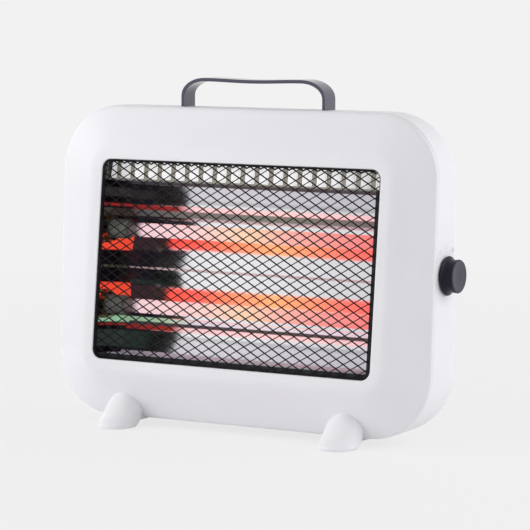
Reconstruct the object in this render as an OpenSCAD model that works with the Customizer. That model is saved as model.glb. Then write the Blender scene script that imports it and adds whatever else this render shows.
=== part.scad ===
// Two-tube electric bar heater, free standing, with a carrying strap.
// Millimetres. +Z is up, the window faces -Y and the knob is on the +X side.
// The origin is on the floor, under the middle of the bounding box.

/* [Case] */
// Width of the case
body_w = 300; // [260:1:360]
// Height of the case, without handle and feet
body_h = 222; // [200:1:270]
// Corner radius of the case, seen from the front
body_r = 45; // [34:1:60]
// Wall of the moulded shells
wall = 2.4; // [1.8:0.1:3]
// How far the window plane stands ahead of the case's edge
front_depth = 12.2; // [10:0.1:18]
// Straight edge of the front shell behind that edge
front_skirt = 3; // [2:0.5:6]
// Depth of the rear shell behind the case's edge
rear_depth = 55; // [52:1:70]
// Rounding of the rear shell's back edge
rear_round = 28; // [20:1:32]
// How far the case leans back on its feet, and how far its face leans from its edge
lean = 3.2; // [2:0.1:4]

/* [Window] */
// Width of the window
window_w = 223; // [200:1:235]
// Height of the window
window_h = 143; // [125:1:155]
// Corner radius of the window
window_r = 7; // [4:0.5:9]
// Height of the window's centre above the case's centre
window_rise = 0.9; // [-2:0.1:2]
// Flat band round the window
band_w = 9; // [6:0.5:11]
// How far the window's lip turns in
lip_depth = 3; // [2:0.5:4]

/* [Guard] */
// Width of one mesh diamond
mesh_pitch_x = 11.2; // [9:0.1:15]
// Height of one mesh diamond
mesh_pitch_z = 6.5; // [5:0.1:9]
// Width of a mesh strand
strand_w = 0.9; // [0.6:0.1:1.4]
// Thickness of the mesh and of the frame behind it
guard_t = 0.8; // [0.6:0.1:1]
// How far the mesh and its frame reach past the window's edge
guard_reach = 6; // [5:0.5:7]
// Width of the frame's arms that shows inside the window
arm_show = 4.5; // [2:0.5:7]
// How far the left arm shows inside the window
arm_left = 0.6; // [0.2:0.1:6]

/* [Reflector] */
// Thickness of the metal sheets
sheet_t = 0.6; // [0.5:0.1:0.8]
// Height of the slotted strip above the reflector
strip_h = 14.5; // [10:0.5:18]
// Slots in the strip
strip_slots = 20; // [12:1:22]
// Width of a bar between two slots
strip_bar = 3.4; // [2.5:0.1:4.5]
// Depth of the window plane ahead of the strip
strip_depth = 8; // [7:0.5:10]
// Mean depth of the troughs behind the window plane
trough_depth = 35.2; // [33:0.1:37]
// How far the middle ridge stands ahead of the troughs' far edge
ridge_rise = 7.2; // [5:0.1:9]
// Height of each trough, from the ridge to its step
trough_h = 36; // [33:0.5:38]
// Height and depth of the step beside each trough
step_size = 7; // [5:0.5:8]
// Lean of the wing beside each step
wing_lean = 16.5; // [10:0.5:22]
// Gap between the reflector's lowest edge and the window's lower edge
reflector_drop = 4; // [3:0.1:7]

/* [Heating tubes] */
// Outer diameter of a quartz tube
tube_d = 10; // [8:0.5:12]
// Bore of a quartz tube
tube_bore = 8; // [6:0.5:10]
// Length of a quartz tube, which sets the distance between the end plates
tube_l = 240; // [200:1:246]
// Distance between the two tubes
tube_gap = 54.5; // [48:0.5:58]
// Depth of the tubes behind the window plane
tube_depth = 14.6; // [14:0.2:17]
// How far the tubes sit towards the knob side
tube_shift = 6; // [4:0.5:7]
// Outer diameter of a heating coil
coil_d = 5.2; // [4:0.1:5.6]
// Diameter of the coil's wire
coil_wire = 0.9; // [0.6:0.1:1.2]
// Length of a heating coil
coil_l = 188; // [160:1:196]
// Outer diameter of a ceramic end cap
cap_d = 14; // [13:0.5:15]
// Length of a ceramic end cap
cap_l = 26; // [24:0.5:27]
// Length of the tube inside its cap
cap_cover = 20; // [16:0.5:21]

/* [Handle] */
// Width of the handle over its legs
handle_w = 116; // [100:1:140]
// Width of the strap
strap_w = 15.6; // [12:0.2:20]
// Thickness of the strap
strap_t = 2.5; // [2:0.1:3.2]
// Height of the handle above the case
handle_rise = 21; // [18:0.5:34]
// Outer bend radius of the handle
handle_r = 19; // [14:0.5:20]
// Distance of the handle's centre behind the case's centre
handle_y = 23.8; // [20:0.2:26]

/* [Knob and switch] */
// Diameter of the knob's flange
knob_d = 27; // [24:0.5:32]
// Diameter of the knob's face
knob_face_d = 23; // [20:0.5:26]
// Length of the knob
knob_l = 9.5; // [9:0.1:14]
// Gap between the knob and the case
knob_gap = 0.5; // [0.4:0.1:1]
// Distance of the knob's axis behind the case's centre
knob_y = 19.1; // [17:0.1:21]
// Height of the knob's axis above the case's centre
knob_z = 1.3; // [-2:0.1:3]
// Diameter of the switch's spindle
spindle_d = 6; // [5:0.1:6.5]
// Width of the switch's body
switch_w = 22; // [20:0.5:24]
// Depth of the switch's body
switch_l = 20; // [18:0.5:22]
// Angle between two switch positions
click_angle = 30; // [30:5:45]

/* [Feet] */
// Distance of each foot from the middle of the case
foot_x = 89; // [70:1:100]
// Diameter of a toe on the floor
toe_d = 29; // [26:0.5:34]
// Distance of the toe's centre ahead of the case's centre
toe_y = 22; // [18:0.5:24]
// Height of the toe
toe_h = 24; // [20:0.5:28]
// Radius of the toe's round top
toe_top_r = 14.5; // [12:0.5:16]
// How far the round top sits behind the middle of the toe's sole
toe_back = 11; // [8:0.5:14]
// Diameter of a heel on the floor
heel_d = 24; // [20:0.5:28]
// Distance of the heel's centre behind the case's centre
heel_y = 50.5; // [48:0.5:56]
// Gap between the case and the floor
ground_gap = 6; // [5.5:0.1:9]
// How far the rubber pads stand out of the feet
pad_proud = 0.8; // [0.5:0.1:1.2]

/* [Vents] */
// Rows of vent slots in the back
vent_rows = 7; // [4:1:8]
// Height of a vent slot
vent_h = 4; // [3:0.5:5]
// Distance between two rows
vent_pitch = 9; // [8:0.5:10]
// Length of a vent slot
vent_l = 84; // [60:1:88]

/* [Cord inlet] */
// Bore of the cord gland
gland_bore = 7; // [6:0.1:8]
// Outer diameter of the gland's neck
gland_neck = 11; // [10:0.1:12]

/* [Hidden] */
$fn = 64;

// Colours
shell_white = [0.94, 0.94, 0.95];
guard_black = [0.05, 0.05, 0.06];
mirror_grey = [0.86, 0.87, 0.9];
plate_dark = [0.1, 0.1, 0.11];
strap_grey = [0.3, 0.29, 0.33];
knob_dark = [0.2, 0.2, 0.24];
glow_red = [1, 0.35, 0.22];
ceramic_grey = [0.5, 0.52, 0.5];
brass_yellow = [0.72, 0.58, 0.32];
steel_grey = [0.62, 0.63, 0.65];
quartz_pale = [0.95, 0.85, 0.85];
rubber_dark = [0.25, 0.25, 0.26];

// Fits
fit_gap = 0.2;
slide_gap = 0.1;
run_gap = 0.05;
thread_gap = 0.05;
seat_gap = 0.3;

// Where the case stands: its centre, so that the origin is under the middle of the whole
knob_reach = knob_gap + knob_l;
foot_front = toe_y + toe_d / 2;
foot_back = heel_y + heel_d / 2;
case_x = -knob_reach / 2;
case_y = (foot_front - foot_back) / 2;
case_z = ground_gap + body_h / 2;
tilt = 2 * lean;

// Window and guard, in the face's own frame
face_y = -front_depth;
lip_back = face_y + lip_depth;
mesh_y = lip_back;
frame_y = mesh_y + guard_t;
guard_w = window_w + 2 * guard_reach;
guard_h = window_h + 2 * guard_reach;
window_top = window_rise + window_h / 2;
window_bottom = window_rise - window_h / 2;
lip_wall = 2;
lip_w = window_w + 2 * lip_wall;
lip_h = window_h + 2 * lip_wall;
guard_corner = 9;
guard_boss_r = 3.5;
guard_screw_z = 45;

// Reflector, in the face's own frame
reflector_top = window_top - strip_h;
reflector_bottom = window_bottom + reflector_drop;
reflector_z = (reflector_top + reflector_bottom) / 2;
half_chamber = tube_l / 2 - tube_shift;
trough_y = face_y + trough_depth;
ridge_y = trough_y - ridge_rise / 2;
trough_edge_y = trough_y + ridge_rise / 2;
wing_y = frame_y + guard_t + 3;
wing_z = (reflector_top - reflector_bottom) / 2;
strip_edge = 2.1;
strip_sill = 1.2;
strip_flange = 12;
strip_y = face_y + strip_depth;
shield_y = trough_edge_y + 5.4;
shield_z = wing_z - 4;
flange_w = 14;
chassis_screw_l = 10;
post_x = half_chamber - flange_w / 2;
post_z = wing_z - 12;
post_r = 4.5;

// Heating tubes, in the face's own frame
tube_y = face_y + tube_depth;
tube_side = [1, -1];
cap_out = cap_l - cap_cover;
cap_inner_left = tube_shift - tube_l / 2 + cap_cover;
cap_inner_right = tube_shift + tube_l / 2 - cap_cover;
cap_bore_r = tube_d / 2 + run_gap;
clip_w = 6;
clip_t = 0.7;
clip_plate_d = 12;
clip_plate_h = 21;
coil_turns = 31;

// Handle and its fixing
pad_h = 6;
tab_l = 16;
tab_z = body_h / 2 - wall - pad_h - strap_t;
tab_screw_x = handle_w / 2 - strap_t - tab_l / 2;
slot_gap = 0.3;

// Screws: shank radius, head radius, head height
screw_r = 2;
head_r = 3.5;
head_h = 2.2;
small_r = 1.5;
small_head_r = 2.7;
small_head_h = 1.6;
blind_depth = 1.4;

guard_screw_l = 4;
guard_screw_end = frame_y + guard_t - guard_screw_l;
plate_front_y = frame_y + guard_t + small_head_h + 0.4;

// Case screws
boss_x = body_w / 2 - 26;
boss_z = body_h / 2 - 31;
boss_r = 5.6;
well_r = head_r + 0.4;
well_floor = 14;
case_screw_l = well_floor + 2;

// Switch
wall_in_x = body_w / 2 - wall;
switch_pad_h = 1.5;
switch_face_x = wall_in_x - switch_pad_h;
bush_r = 4.8;
bush_end_x = body_w / 2 + knob_gap + 1.6;
nut_af = 14;
nut_h = 1.9;
recess_r = 8.9;
recess_h = 3;
spindle_end_x = body_w / 2 + knob_reach - 2;
spindle_start_x = switch_face_x - 8;
flat_depth = 1.2;
tab_pitch = 7;
waist_depth = 0.8;
pointer_w = 1.2;
pointer_h = 1.6;

// Tip-over switch, in the rear shell's frame
tip_plate_w = 26;
tip_side_gap = 19.5;
tip_x = tip_plate_w / 2 + post_r + tip_side_gap - post_x;
tip_y = 37;
tip_z = -46;
tip_arm = 16;
tip_weight_r = 5;
tip_pin_r = 1.5;
tip_hub_r = 3.4;
tip_gap = 6.5;
tip_ear = 2;
tip_plate_t = 2;
back_in = rear_depth - wall;
micro_h = 10;
micro_w = 20;
micro_d = 10;
shelf_t = 2;
tip_low = tip_z - tip_arm - tip_weight_r;
micro_top = tip_low - 2.6;
shelf_top = micro_top - micro_h;
tip_screw_z = [tip_z + 5, shelf_top + 4];
cutout_z = 26;
cutout_tab = 4;

// Mains entry, in the rear shell's frame
block_x = 52;
block_z = -72;
block_w = 34;
block_d = 14;
block_h = 16;
block_screw_x = 5.5;
block_seat = 3;
block_screw_r = 1.2;
block_ways = [for (x = [-11, 0, 11], z = [-4, 4]) [x, z]];
gland_x = 98;
gland_z = -72;
gland_flange_r = 8.5;
gland_flange_h = 3;
lead_r = 1.3;
lead_bend = 5;
lead_sides = 8;
lane_deep = back_in - 9.6;
lane_mid = back_in - 14.6;
lane_shallow = back_in - 20.6;
low_lane = 19 - body_h / 2;
bend_steps = 4;

// Feet
foot_floor = pad_proud - case_z;
case_bottom = -body_h / 2;
toe_rim_h = 1.6;
heel_top_r = 12;
heel_h = 20;
heel_back = 5;
sole_h = 3;
sole_w = 22;
pad_r = heel_d / 2 - 3;
pad_t = 2.2;
foot_screw_y = [12, 24];
foot_screw_l = 8;
foot_boss_h = 6;
foot_boss_r = 4.2;

// Steps of the rear shell's round edge
round_steps = 6;

// Vents
vent_top = 76;
vent_x = 8 + vent_l / 2;

// ---------- frames ----------

// The case's own frame: its edge plane is y = 0
module in_case() {
    translate([case_x, case_y, case_z])
        rotate([-lean, 0, 0])
            children();
}

// The face's frame: the window plane is y = face_y
module in_face() {
    in_case()
        rotate([-lean, 0, 0])
            children();
}

// The rear shell's frame, which stands upright
module in_rear() {
    in_case()
        rotate([lean, 0, 0])
            children();
}

// A point of the face's frame, given in the rear shell's frame
function from_face(p) = [
    p[0],
    p[1] * cos(tilt) + p[2] * sin(tilt),
    -p[1] * sin(tilt) + p[2] * cos(tilt)
];

// ---------- helpers ----------

// Rounded rectangle round the origin
module rounded_rect(w, h, r) {
    square([w - 2 * r, h], center = true);
    square([w, h - 2 * r], center = true);
    for (x = [-1, 1], y = [-1, 1])
        translate([x * (w / 2 - r), y * (h / 2 - r)])
            circle(r);
}

// Extrudes an outline drawn in X and Z from y0 to y1
module slab(y0, y1) {
    translate([0, y1, 0])
        rotate([90, 0, 0])
            linear_extrude(y1 - y0)
                children();
}

// Extrudes an outline drawn in Y and Z from x0 to x1
module along_x(x0, x1) {
    translate([x0, 0, 0])
        rotate([90, 0, 90])
            linear_extrude(x1 - x0)
                children();
}

// Round bar along +X from x0 to x1
module bar_x(x0, x1, r) {
    translate([x0, 0, 0])
        rotate([0, 90, 0])
            cylinder(h = x1 - x0, r = r);
}

// Round bar along +Y from y0 to y1
module bar_y(y0, y1, r) {
    translate([0, y0, 0])
        rotate([-90, 0, 0])
            cylinder(h = y1 - y0, r = r);
}

// Screw with its head's seat at the origin and its shank along -Z
module screw(r, hr, hh, l) {
    translate([0, 0, -l])
        cylinder(h = l, r = r);
    difference() {
        cylinder(h = hh, r = hr);
        for (a = [0, 90])
            rotate([0, 0, a])
                translate([-hr * 0.6, -0.4, hh * 0.5])
                    cube([hr * 1.2, 0.8, hh]);
    }
}

// ---------- case ----------

// Outer form of the front shell, in the case's frame
module front_form(inset) {
    hull() {
        slab(0, 0.01)
            rounded_rect(body_w - 2 * inset, body_h - 2 * inset, body_r - inset);
        rotate([-lean, 0, 0])
            translate([0, 0, window_rise])
                slab(face_y + inset, face_y + inset + 0.01)
                    rounded_rect(
                        window_w + 2 * band_w - inset,
                        window_h + 2 * band_w - inset,
                        window_r + band_w - inset / 2
                    );
    }
    slab(0, front_skirt)
        rounded_rect(body_w - 2 * inset, body_h - 2 * inset, body_r - inset);
}

// Outer form of the rear shell, in its own frame: slabs that follow a quarter round
module rear_form(inset) {
    round_r = rear_round - inset;
    hull() {
        slab(-20, rear_depth - rear_round)
            rounded_rect(body_w - 2 * inset, body_h - 2 * inset, body_r - inset, $fn = 48);
        for (k = [1 : round_steps])
            let (a = 90 * k / round_steps, in = inset + round_r * (1 - cos(a)))
                let (y = rear_depth - rear_round + round_r * sin(a))
                    slab(y - 0.01, y)
                        rounded_rect(body_w - 2 * in, body_h - 2 * in, body_r - in, $fn = 48);
    }
}

module at_case_bosses() {
    for (x = [-1, 1], z = [-1, 1])
        translate([x * boss_x, 0, z * boss_z])
            children();
}

module at_guard_screws() {
    translate([0, 0, window_rise])
        for (x = [-1, 1], z = [-1, 1])
            translate([x * (guard_w - mesh_rim) / 2, 0, z * guard_screw_z])
                children();
}

module front_shell() {
    color(shell_white)
        in_case()
            difference() {
                union() {
                    difference() {
                        front_form(0);
                        front_form(wall);
                        slab(front_skirt - 0.01, front_skirt + 1)
                            rounded_rect(body_w - 2 * wall, body_h - 2 * wall, body_r - wall);
                    }
                    rotate([-lean, 0, 0])
                        translate([0, 0, window_rise])
                            slab(face_y + 1, lip_back)
                                rounded_rect(lip_w, lip_h, window_r + lip_wall);
                    rotate([-lean, 0, 0])
                        at_guard_screws()
                            bar_y(face_y + 1, lip_back, guard_boss_r);
                    intersection() {
                        front_form(wall / 2);
                        at_case_bosses()
                            bar_y(-front_depth, front_skirt, boss_r);
                    }
                }
                rotate([-lean, 0, 0])
                    translate([0, 0, window_rise])
                        slab(face_y - 5, lip_back + 1)
                            rounded_rect(window_w, window_h, window_r);
                rotate([-lean, 0, 0])
                    at_guard_screws()
                        bar_y(guard_screw_end - slide_gap, lip_back + 1, small_r + thread_gap);
                at_case_bosses()
                    bar_y(well_floor - case_screw_l - 0.5, front_skirt + 1, screw_r + thread_gap);
            }
}

// The whole case as one solid, in its own frame
module case_form() {
    front_form(0);
    difference() {
        rotate([lean, 0, 0])
            rear_form(0);
        ahead_of_parting();
    }
}

// Everything ahead of the parting plane, in the case's frame
module ahead_of_parting() {
    translate([-body_w, front_skirt - body_h, -body_h])
        cube([2 * body_w, body_h, 2 * body_h]);
}

module vent_slots() {
    for (x = [-1, 1], i = [0 : vent_rows - 1])
        translate([x * vent_x, 0, vent_top - i * vent_pitch])
            slab(rear_depth - wall - 1, rear_depth + 1)
                rounded_rect(vent_l, vent_h, vent_h / 2 - 0.01);
}

module at_posts() {
    translate([0, 0, reflector_z])
        for (x = [-1, 1], z = [-1, 1])
            translate([x * post_x, 0, z * post_z])
                children();
}

module rear_shell() {
    color(shell_white)
        difference() {
            union() {
                in_rear()
                    difference() {
                        rear_form(0);
                        rear_form(wall);
                    }
                intersection() {
                    in_rear()
                        rear_form(wall / 2);
                    union() {
                        in_case()
                            at_case_bosses()
                                bar_y(front_skirt, rear_depth + 5, boss_r);
                        in_face()
                            at_posts()
                                bar_y(shield_y + sheet_t, rear_depth + 10, post_r);
                    }
                }
                in_rear() {
                    for (s = [-1, 1])
                        translate([s * (tab_screw_x), handle_y, body_h / 2 - wall - pad_h])
                            translate([-tab_l / 2, -strap_w / 2, 0])
                                cube([tab_l, strap_w, pad_h + wall / 2]);
                    translate([0, knob_y, knob_z])
                        bar_x(switch_face_x, wall_in_x + wall / 2, 9);
                    for (s = [-1, 1], y = foot_screw_y)
                        translate([s * foot_x, y, case_bottom + wall / 2])
                            cylinder(h = wall / 2 + foot_boss_h, r = foot_boss_r);
                }
            }
            in_case()
                ahead_of_parting();
            in_case()
                at_case_bosses() {
                    bar_y(-1, rear_depth, screw_r + slide_gap);
                    bar_y(well_floor, rear_depth + 20, well_r);
                }
            in_face()
                at_posts()
                    bar_y(0, shield_y + 11, screw_r + thread_gap);
            in_rear() {
                vent_slots();
                // handle legs and screws
                for (s = [-1, 1]) {
                    translate([s * (handle_w - strap_t) / 2, handle_y, 0])
                        translate([-strap_t / 2 - slot_gap, -strap_w / 2 - slot_gap, tab_z])
                            cube([strap_t + 2 * slot_gap, strap_w + 2 * slot_gap, body_h]);
                    translate([s * tab_screw_x, handle_y, tab_z])
                        cylinder(h = strap_t + pad_h, r = screw_r + thread_gap);
                }
                // switch bush, gland and foot screws
                translate([0, knob_y, knob_z])
                    bar_x(switch_face_x - 1, body_w, bush_r + fit_gap);
                translate([gland_x, 0, gland_z])
                    bar_y(back_in - 1, rear_depth + 1, gland_neck / 2 + slide_gap);
                for (s = [-1, 1], y = foot_screw_y)
                    translate([s * foot_x, y, case_bottom - 1])
                        cylinder(h = foot_boss_h + wall + 0.5, r = small_r + thread_gap);
                for (s = [-1, 1])
                    translate([block_x + s * block_screw_x, 0, block_z])
                        bar_y(back_in - 1, back_in + blind_depth, small_r + thread_gap);
                for (z = tip_screw_z)
                    translate([tip_x, 0, z])
                        bar_y(back_in - 1, back_in + blind_depth, small_r + thread_gap);
            }
        }
}

// ---------- guard ----------

mesh_rim = 3.5;
mesh_slope = mesh_pitch_z / mesh_pitch_x;
layer_gap = 0.02;
strand_end = 0.6;

// One layer of parallel strands, rising to the right for side = 1 and falling for side = -1
module strands(side, y0, y1) {
    reach_x = guard_w / 2 - mesh_rim - strand_end;
    reach_z = guard_h / 2 - mesh_rim - strand_end;
    spread = reach_x + reach_z / mesh_slope;
    count = floor(spread / mesh_pitch_x);
    for (i = [-count : count]) {
        foot = (i + 0.5) * mesh_pitch_x;
        x0 = max(-reach_x, foot - reach_z / mesh_slope);
        x1 = min(reach_x, foot + reach_z / mesh_slope);
        if (x1 - x0 > mesh_pitch_x / 2)
            slab(y0, y1)
                translate([x0, side * (x0 - foot) * mesh_slope])
                    rotate([0, 0, side * atan(mesh_slope)])
                        translate([0, -strand_w / 2])
                            square([(x1 - x0) / cos(atan(mesh_slope)), strand_w]);
    }
}

module guard_mesh() {
    color(guard_black)
        in_face() {
            translate([0, 0, window_rise]) {
                strands(-1, mesh_y, mesh_y + guard_t / 2);
                strands(1, mesh_y + guard_t / 2 + layer_gap, mesh_y + guard_t);
            }
            difference() {
                translate([0, 0, window_rise])
                    slab(mesh_y, mesh_y + guard_t)
                        difference() {
                            rounded_rect(guard_w, guard_h, guard_corner);
                            square([guard_w - 2 * mesh_rim, guard_h - 2 * mesh_rim], center = true);
                        }
                at_guard_screws()
                    bar_y(mesh_y - 1, frame_y + 1, small_r + thread_gap);
            }
        }
}

module guard_frame() {
    color(guard_black)
        in_face()
            difference() {
                slab(frame_y, frame_y + guard_t)
                    difference() {
                        translate([0, window_rise])
                            rounded_rect(guard_w, guard_h, guard_corner);
                        translate([-guard_w, reflector_top])
                            square([2 * guard_w, guard_h]);
                        translate([arm_left - window_w / 2, reflector_bottom])
                            square([window_w - arm_left - arm_show, guard_h]);
                    }
                at_guard_screws()
                    bar_y(frame_y - 1, frame_y + guard_t + 1, small_r + thread_gap);
            }
}

module guard_screws() {
    color(steel_grey)
        in_face()
            at_guard_screws()
                translate([0, frame_y + guard_t, 0])
                    rotate([-90, 0, 0])
                        screw(small_r, small_head_r, small_head_h, guard_screw_l);
}

// ---------- heating chamber ----------

// The reflector's section from its middle to its edge, as depth and height
sheet_y = sheet_t * 1.5;
step_y = trough_edge_y - step_size;
step_z = trough_h + step_size;
knee_y = step_y - (wing_z - sheet_t - step_z) * tan(wing_lean);
reflector_front = [
    [ridge_y, 0],
    [trough_edge_y, trough_h],
    [step_y, step_z],
    [knee_y, wing_z - sheet_t],
    [wing_y, wing_z - sheet_t]
];
reflector_back = [
    [ridge_y + sheet_y, 0],
    [trough_edge_y + sheet_y, trough_h],
    [step_y + sheet_y, step_z],
    [knee_y + sheet_y, wing_z],
    [wing_y, wing_z]
];

// The lower half of a section, then its upper half
function whole(half) = concat(
    [for (i = [len(half) - 1 : -1 : 1]) [half[i][0], -half[i][1]]],
    half
);

function reversed(points) = [for (i = [len(points) - 1 : -1 : 0]) points[i]];

module reflector() {
    color(mirror_grey)
        in_face()
            translate([0, 0, reflector_z])
                along_x(-half_chamber, half_chamber)
                    polygon(concat(whole(reflector_front), reversed(whole(reflector_back))));
}

// Slotted strip with a top flange and a baffle that hangs from it behind the slots
module vent_strip() {
    strip_top = window_top + guard_reach;
    slots_reach = half_chamber - strip_edge;
    slot_top = window_top + 2;
    slot_w = (2 * slots_reach - (strip_slots - 1) * strip_bar) / strip_slots;
    slot_low = reflector_top + strip_sill;
    baffle_low = reflector_top + slide_gap;
    color(mirror_grey)
        in_face()
            difference() {
                union() {
                    slab(strip_y, strip_y + sheet_t)
                        translate([-half_chamber, reflector_top])
                            square([2 * half_chamber, strip_top - reflector_top]);
                    translate([-half_chamber, strip_y, strip_top - sheet_t])
                        cube([2 * half_chamber, strip_flange, sheet_t]);
                    translate([-half_chamber, strip_y + strip_flange - sheet_t, baffle_low])
                        cube([2 * half_chamber, sheet_t, strip_top - baffle_low]);
                }
                for (i = [0 : strip_slots - 1])
                    translate([i * (slot_w + strip_bar) - slots_reach, strip_y - 1, slot_low])
                        cube([slot_w, sheet_t + 2, slot_top - slot_low]);
            }
}

// End plate on the +X side, with its rear flange turned in
module end_plate() {
    height = window_top + guard_reach - reflector_bottom;
    difference() {
        union() {
            translate([half_chamber, plate_front_y, reflector_bottom])
                cube([sheet_t, shield_y - plate_front_y, height]);
            translate([half_chamber - flange_w, shield_y - sheet_t, reflector_z - shield_z])
                cube([flange_w + sheet_t, sheet_t, 2 * shield_z]);
        }
        translate([0, tube_y, reflector_z])
            for (s = tube_side)
                translate([0, 0, s * tube_gap / 2])
                    bar_x(half_chamber - 1, half_chamber + sheet_t + 1, cap_d / 2 + slide_gap);
        at_posts()
            bar_y(shield_y - 2, shield_y + 1, screw_r + slide_gap);
    }
}

module end_plate_left() {
    color(plate_dark)
        in_face()
            mirror([1, 0, 0])
                end_plate();
}

module end_plate_right() {
    color(plate_dark)
        in_face()
            end_plate();
}

module heat_shield() {
    color(mirror_grey)
        in_face()
            difference() {
                translate([-half_chamber, shield_y, reflector_z - shield_z])
                    cube([2 * half_chamber, sheet_t, 2 * shield_z]);
                at_posts()
                    bar_y(shield_y - 1, shield_y + 2, screw_r + slide_gap);
            }
}

module chassis_screws() {
    color(steel_grey)
        in_face()
            at_posts()
                translate([0, shield_y - sheet_t, 0])
                    rotate([90, 0, 0])
                        screw(screw_r, head_r, head_h, chassis_screw_l);
}

// ---------- heating tubes ----------

// The frame of one tube: its axis along X, side = 1 for the upper one
module at_tube(side) {
    in_face()
        translate([0, tube_y, reflector_z + side * tube_gap / 2])
            children();
}

module tube(side) {
    color(quartz_pale)
        at_tube(side)
            difference() {
                bar_x(tube_shift - tube_l / 2, tube_shift + tube_l / 2, tube_d / 2);
                bar_x(tube_shift - tube_l / 2 - 1, tube_shift + tube_l / 2 + 1, tube_bore / 2);
            }
}

// Turns of the coil as rings on one straight wire, which also makes the two tails
module coil(side) {
    ring_r = (coil_d - coil_wire) / 2;
    pitch = coil_l / (coil_turns - 1);
    tail = tube_l / 2 - seat_gap;
    color(glow_red)
        at_tube(side)
            translate([tube_shift, 0, 0]) {
                for (i = [0 : coil_turns - 1])
                    translate([-coil_l / 2 + i * pitch, 0, 0])
                        rotate([0, 90, 0])
                            rotate_extrude()
                                translate([ring_r, 0])
                                    circle(coil_wire / 2);
                translate([0, 0, ring_r])
                    bar_x(-tail, tail, coil_wire * 0.45);
            }
}

// End cap whose mouth is at x = 0 and which reaches along -X
module end_cap() {
    difference() {
        bar_x(-cap_l, 0, cap_d / 2);
        bar_x(-cap_cover, 1, cap_bore_r);
        bar_x(-cap_l - 1, 0, lead_r + run_gap);
    }
}

module cap_left(side) {
    color(ceramic_grey)
        at_tube(side)
            translate([cap_inner_left, 0, 0])
                end_cap();
}

module cap_right(side) {
    color(ceramic_grey)
        at_tube(side)
            translate([cap_inner_right, 0, 0])
                mirror([1, 0, 0])
                    end_cap();
}

// Spring collar round a cap, with a plate that lies on the end plate at x = 0
module clip() {
    difference() {
        union() {
            bar_x(0, clip_w, cap_d / 2 + clip_t + run_gap);
            translate([0, -clip_plate_d / 2, -clip_plate_h / 2])
                cube([clip_t, clip_plate_d, clip_plate_h]);
        }
        bar_x(-1, clip_w + 1, cap_d / 2 + run_gap);
    }
}

module clip_left(side) {
    color(brass_yellow)
        at_tube(side)
            translate([-half_chamber, 0, 0])
                clip();
}

module clip_right(side) {
    color(brass_yellow)
        at_tube(side)
            translate([half_chamber, 0, 0])
                mirror([1, 0, 0])
                    clip();
}

// ---------- handle ----------

// Outline of the strap's outer or inner edge, from z0 up to z1
module arch(w, z0, z1, r) {
    translate([-w / 2, z0])
        square([w, z1 - r - z0]);
    translate([-w / 2 + r, z0])
        square([w - 2 * r, z1 - z0]);
    for (s = [-1, 1])
        intersection() {
            translate([s * (w / 2 - r), z1 - r])
                circle(r);
            translate([s * (w / 2 - r) - r, z1 - r])
                square([2 * r, r]);
        }
}

module handle() {
    top = body_h / 2 + handle_rise;
    inner_w = handle_w - 2 * strap_t;
    color(strap_grey)
        in_rear()
            translate([0, handle_y, 0])
                difference() {
                    slab(-strap_w / 2, strap_w / 2)
                        difference() {
                            arch(handle_w, tab_z, top, handle_r);
                            translate([-inner_w / 2 + tab_l, tab_z - 1])
                                square([inner_w - 2 * tab_l, strap_t + 2]);
                            translate([0, tab_z + strap_t])
                                arch(inner_w, 0, top - strap_t - tab_z - strap_t, handle_r - strap_t);
                        }
                    for (s = [-1, 1])
                        translate([s * tab_screw_x, 0, tab_z - 1])
                            cylinder(h = strap_t + 2, r = screw_r + slide_gap);
                }
}

module handle_screws() {
    color(steel_grey)
        in_rear()
            for (s = [-1, 1])
                translate([s * tab_screw_x, handle_y, tab_z])
                    rotate([180, 0, 0])
                        screw(screw_r, head_r, head_h, strap_t + pad_h - 0.5);
}

// ---------- knob and switch ----------

module at_knob() {
    in_rear()
        translate([0, knob_y, knob_z])
            children();
}

// D-shaped bar from x0 to x1 whose flat faces up
module d_bar(x0, x1, r, flat) {
    difference() {
        bar_x(x0, x1, r);
        translate([x0 - 1, -r, r - flat])
            cube([x1 - x0 + 2, 2 * r, r]);
    }
}

// Radius of the knob's waist at a height t between flange and face
function waist(t) =
    knob_face_d / 2 + (knob_d - knob_face_d) / 2 * pow(1 - t, 3) - waist_depth * sin(180 * t);

module knob() {
    steps = 10;
    x_flange = 1.5;
    x_rim = knob_l - 0.8;
    side = [
        for (i = [0 : steps])
            [waist(i / steps), x_flange + (x_rim - x_flange) * i / steps]
    ];
    color(knob_dark)
        at_knob()
            difference() {
                translate([body_w / 2 + knob_gap, 0, 0])
                    rotate([0, 90, 0])
                        rotate_extrude()
                            polygon(concat(
                                [[0, 0], [knob_d / 2 - 0.4, 0], [knob_d / 2, 0.4]],
                                side,
                                [[knob_face_d / 2 - 0.8, knob_l], [0, knob_l]]
                            ));
                bar_x(body_w / 2, body_w / 2 + knob_gap + recess_h, recess_r);
                d_bar(body_w / 2, spindle_end_x + 0.1, spindle_d / 2 + run_gap / 2, flat_depth);
                // pointer notch in the flange, on the side of the position that the knob is in
                rotate([-click_angle, 0, 0])
                    translate([body_w / 2, -pointer_w / 2, knob_d / 2 - pointer_h])
                        cube([knob_gap + x_flange + 1, pointer_w, pointer_h + 1]);
            }
}

module switch_spindle() {
    color(steel_grey)
        at_knob() {
            bar_x(spindle_start_x, bush_end_x, spindle_d / 2);
            d_bar(bush_end_x - 0.01, spindle_end_x, spindle_d / 2, flat_depth);
        }
}

module switch_body() {
    color(rubber_dark)
        at_knob()
            difference() {
                union() {
                    translate([switch_face_x - switch_l, -switch_w / 2, -switch_w / 2])
                        cube([switch_l, switch_w, switch_w]);
                    bar_x(switch_face_x - 1, bush_end_x, bush_r);
                }
                bar_x(spindle_start_x - seat_gap, bush_end_x + 1, spindle_d / 2 + run_gap);
            }
}

module switch_nut() {
    color(steel_grey)
        at_knob()
            translate([body_w / 2, 0, 0])
                difference() {
                    rotate([0, 90, 0])
                        cylinder(h = nut_h, r = nut_af / 2 / cos(30), $fn = 6);
                    bar_x(-1, nut_h + 1, bush_r + thread_gap);
                }
}

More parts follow.
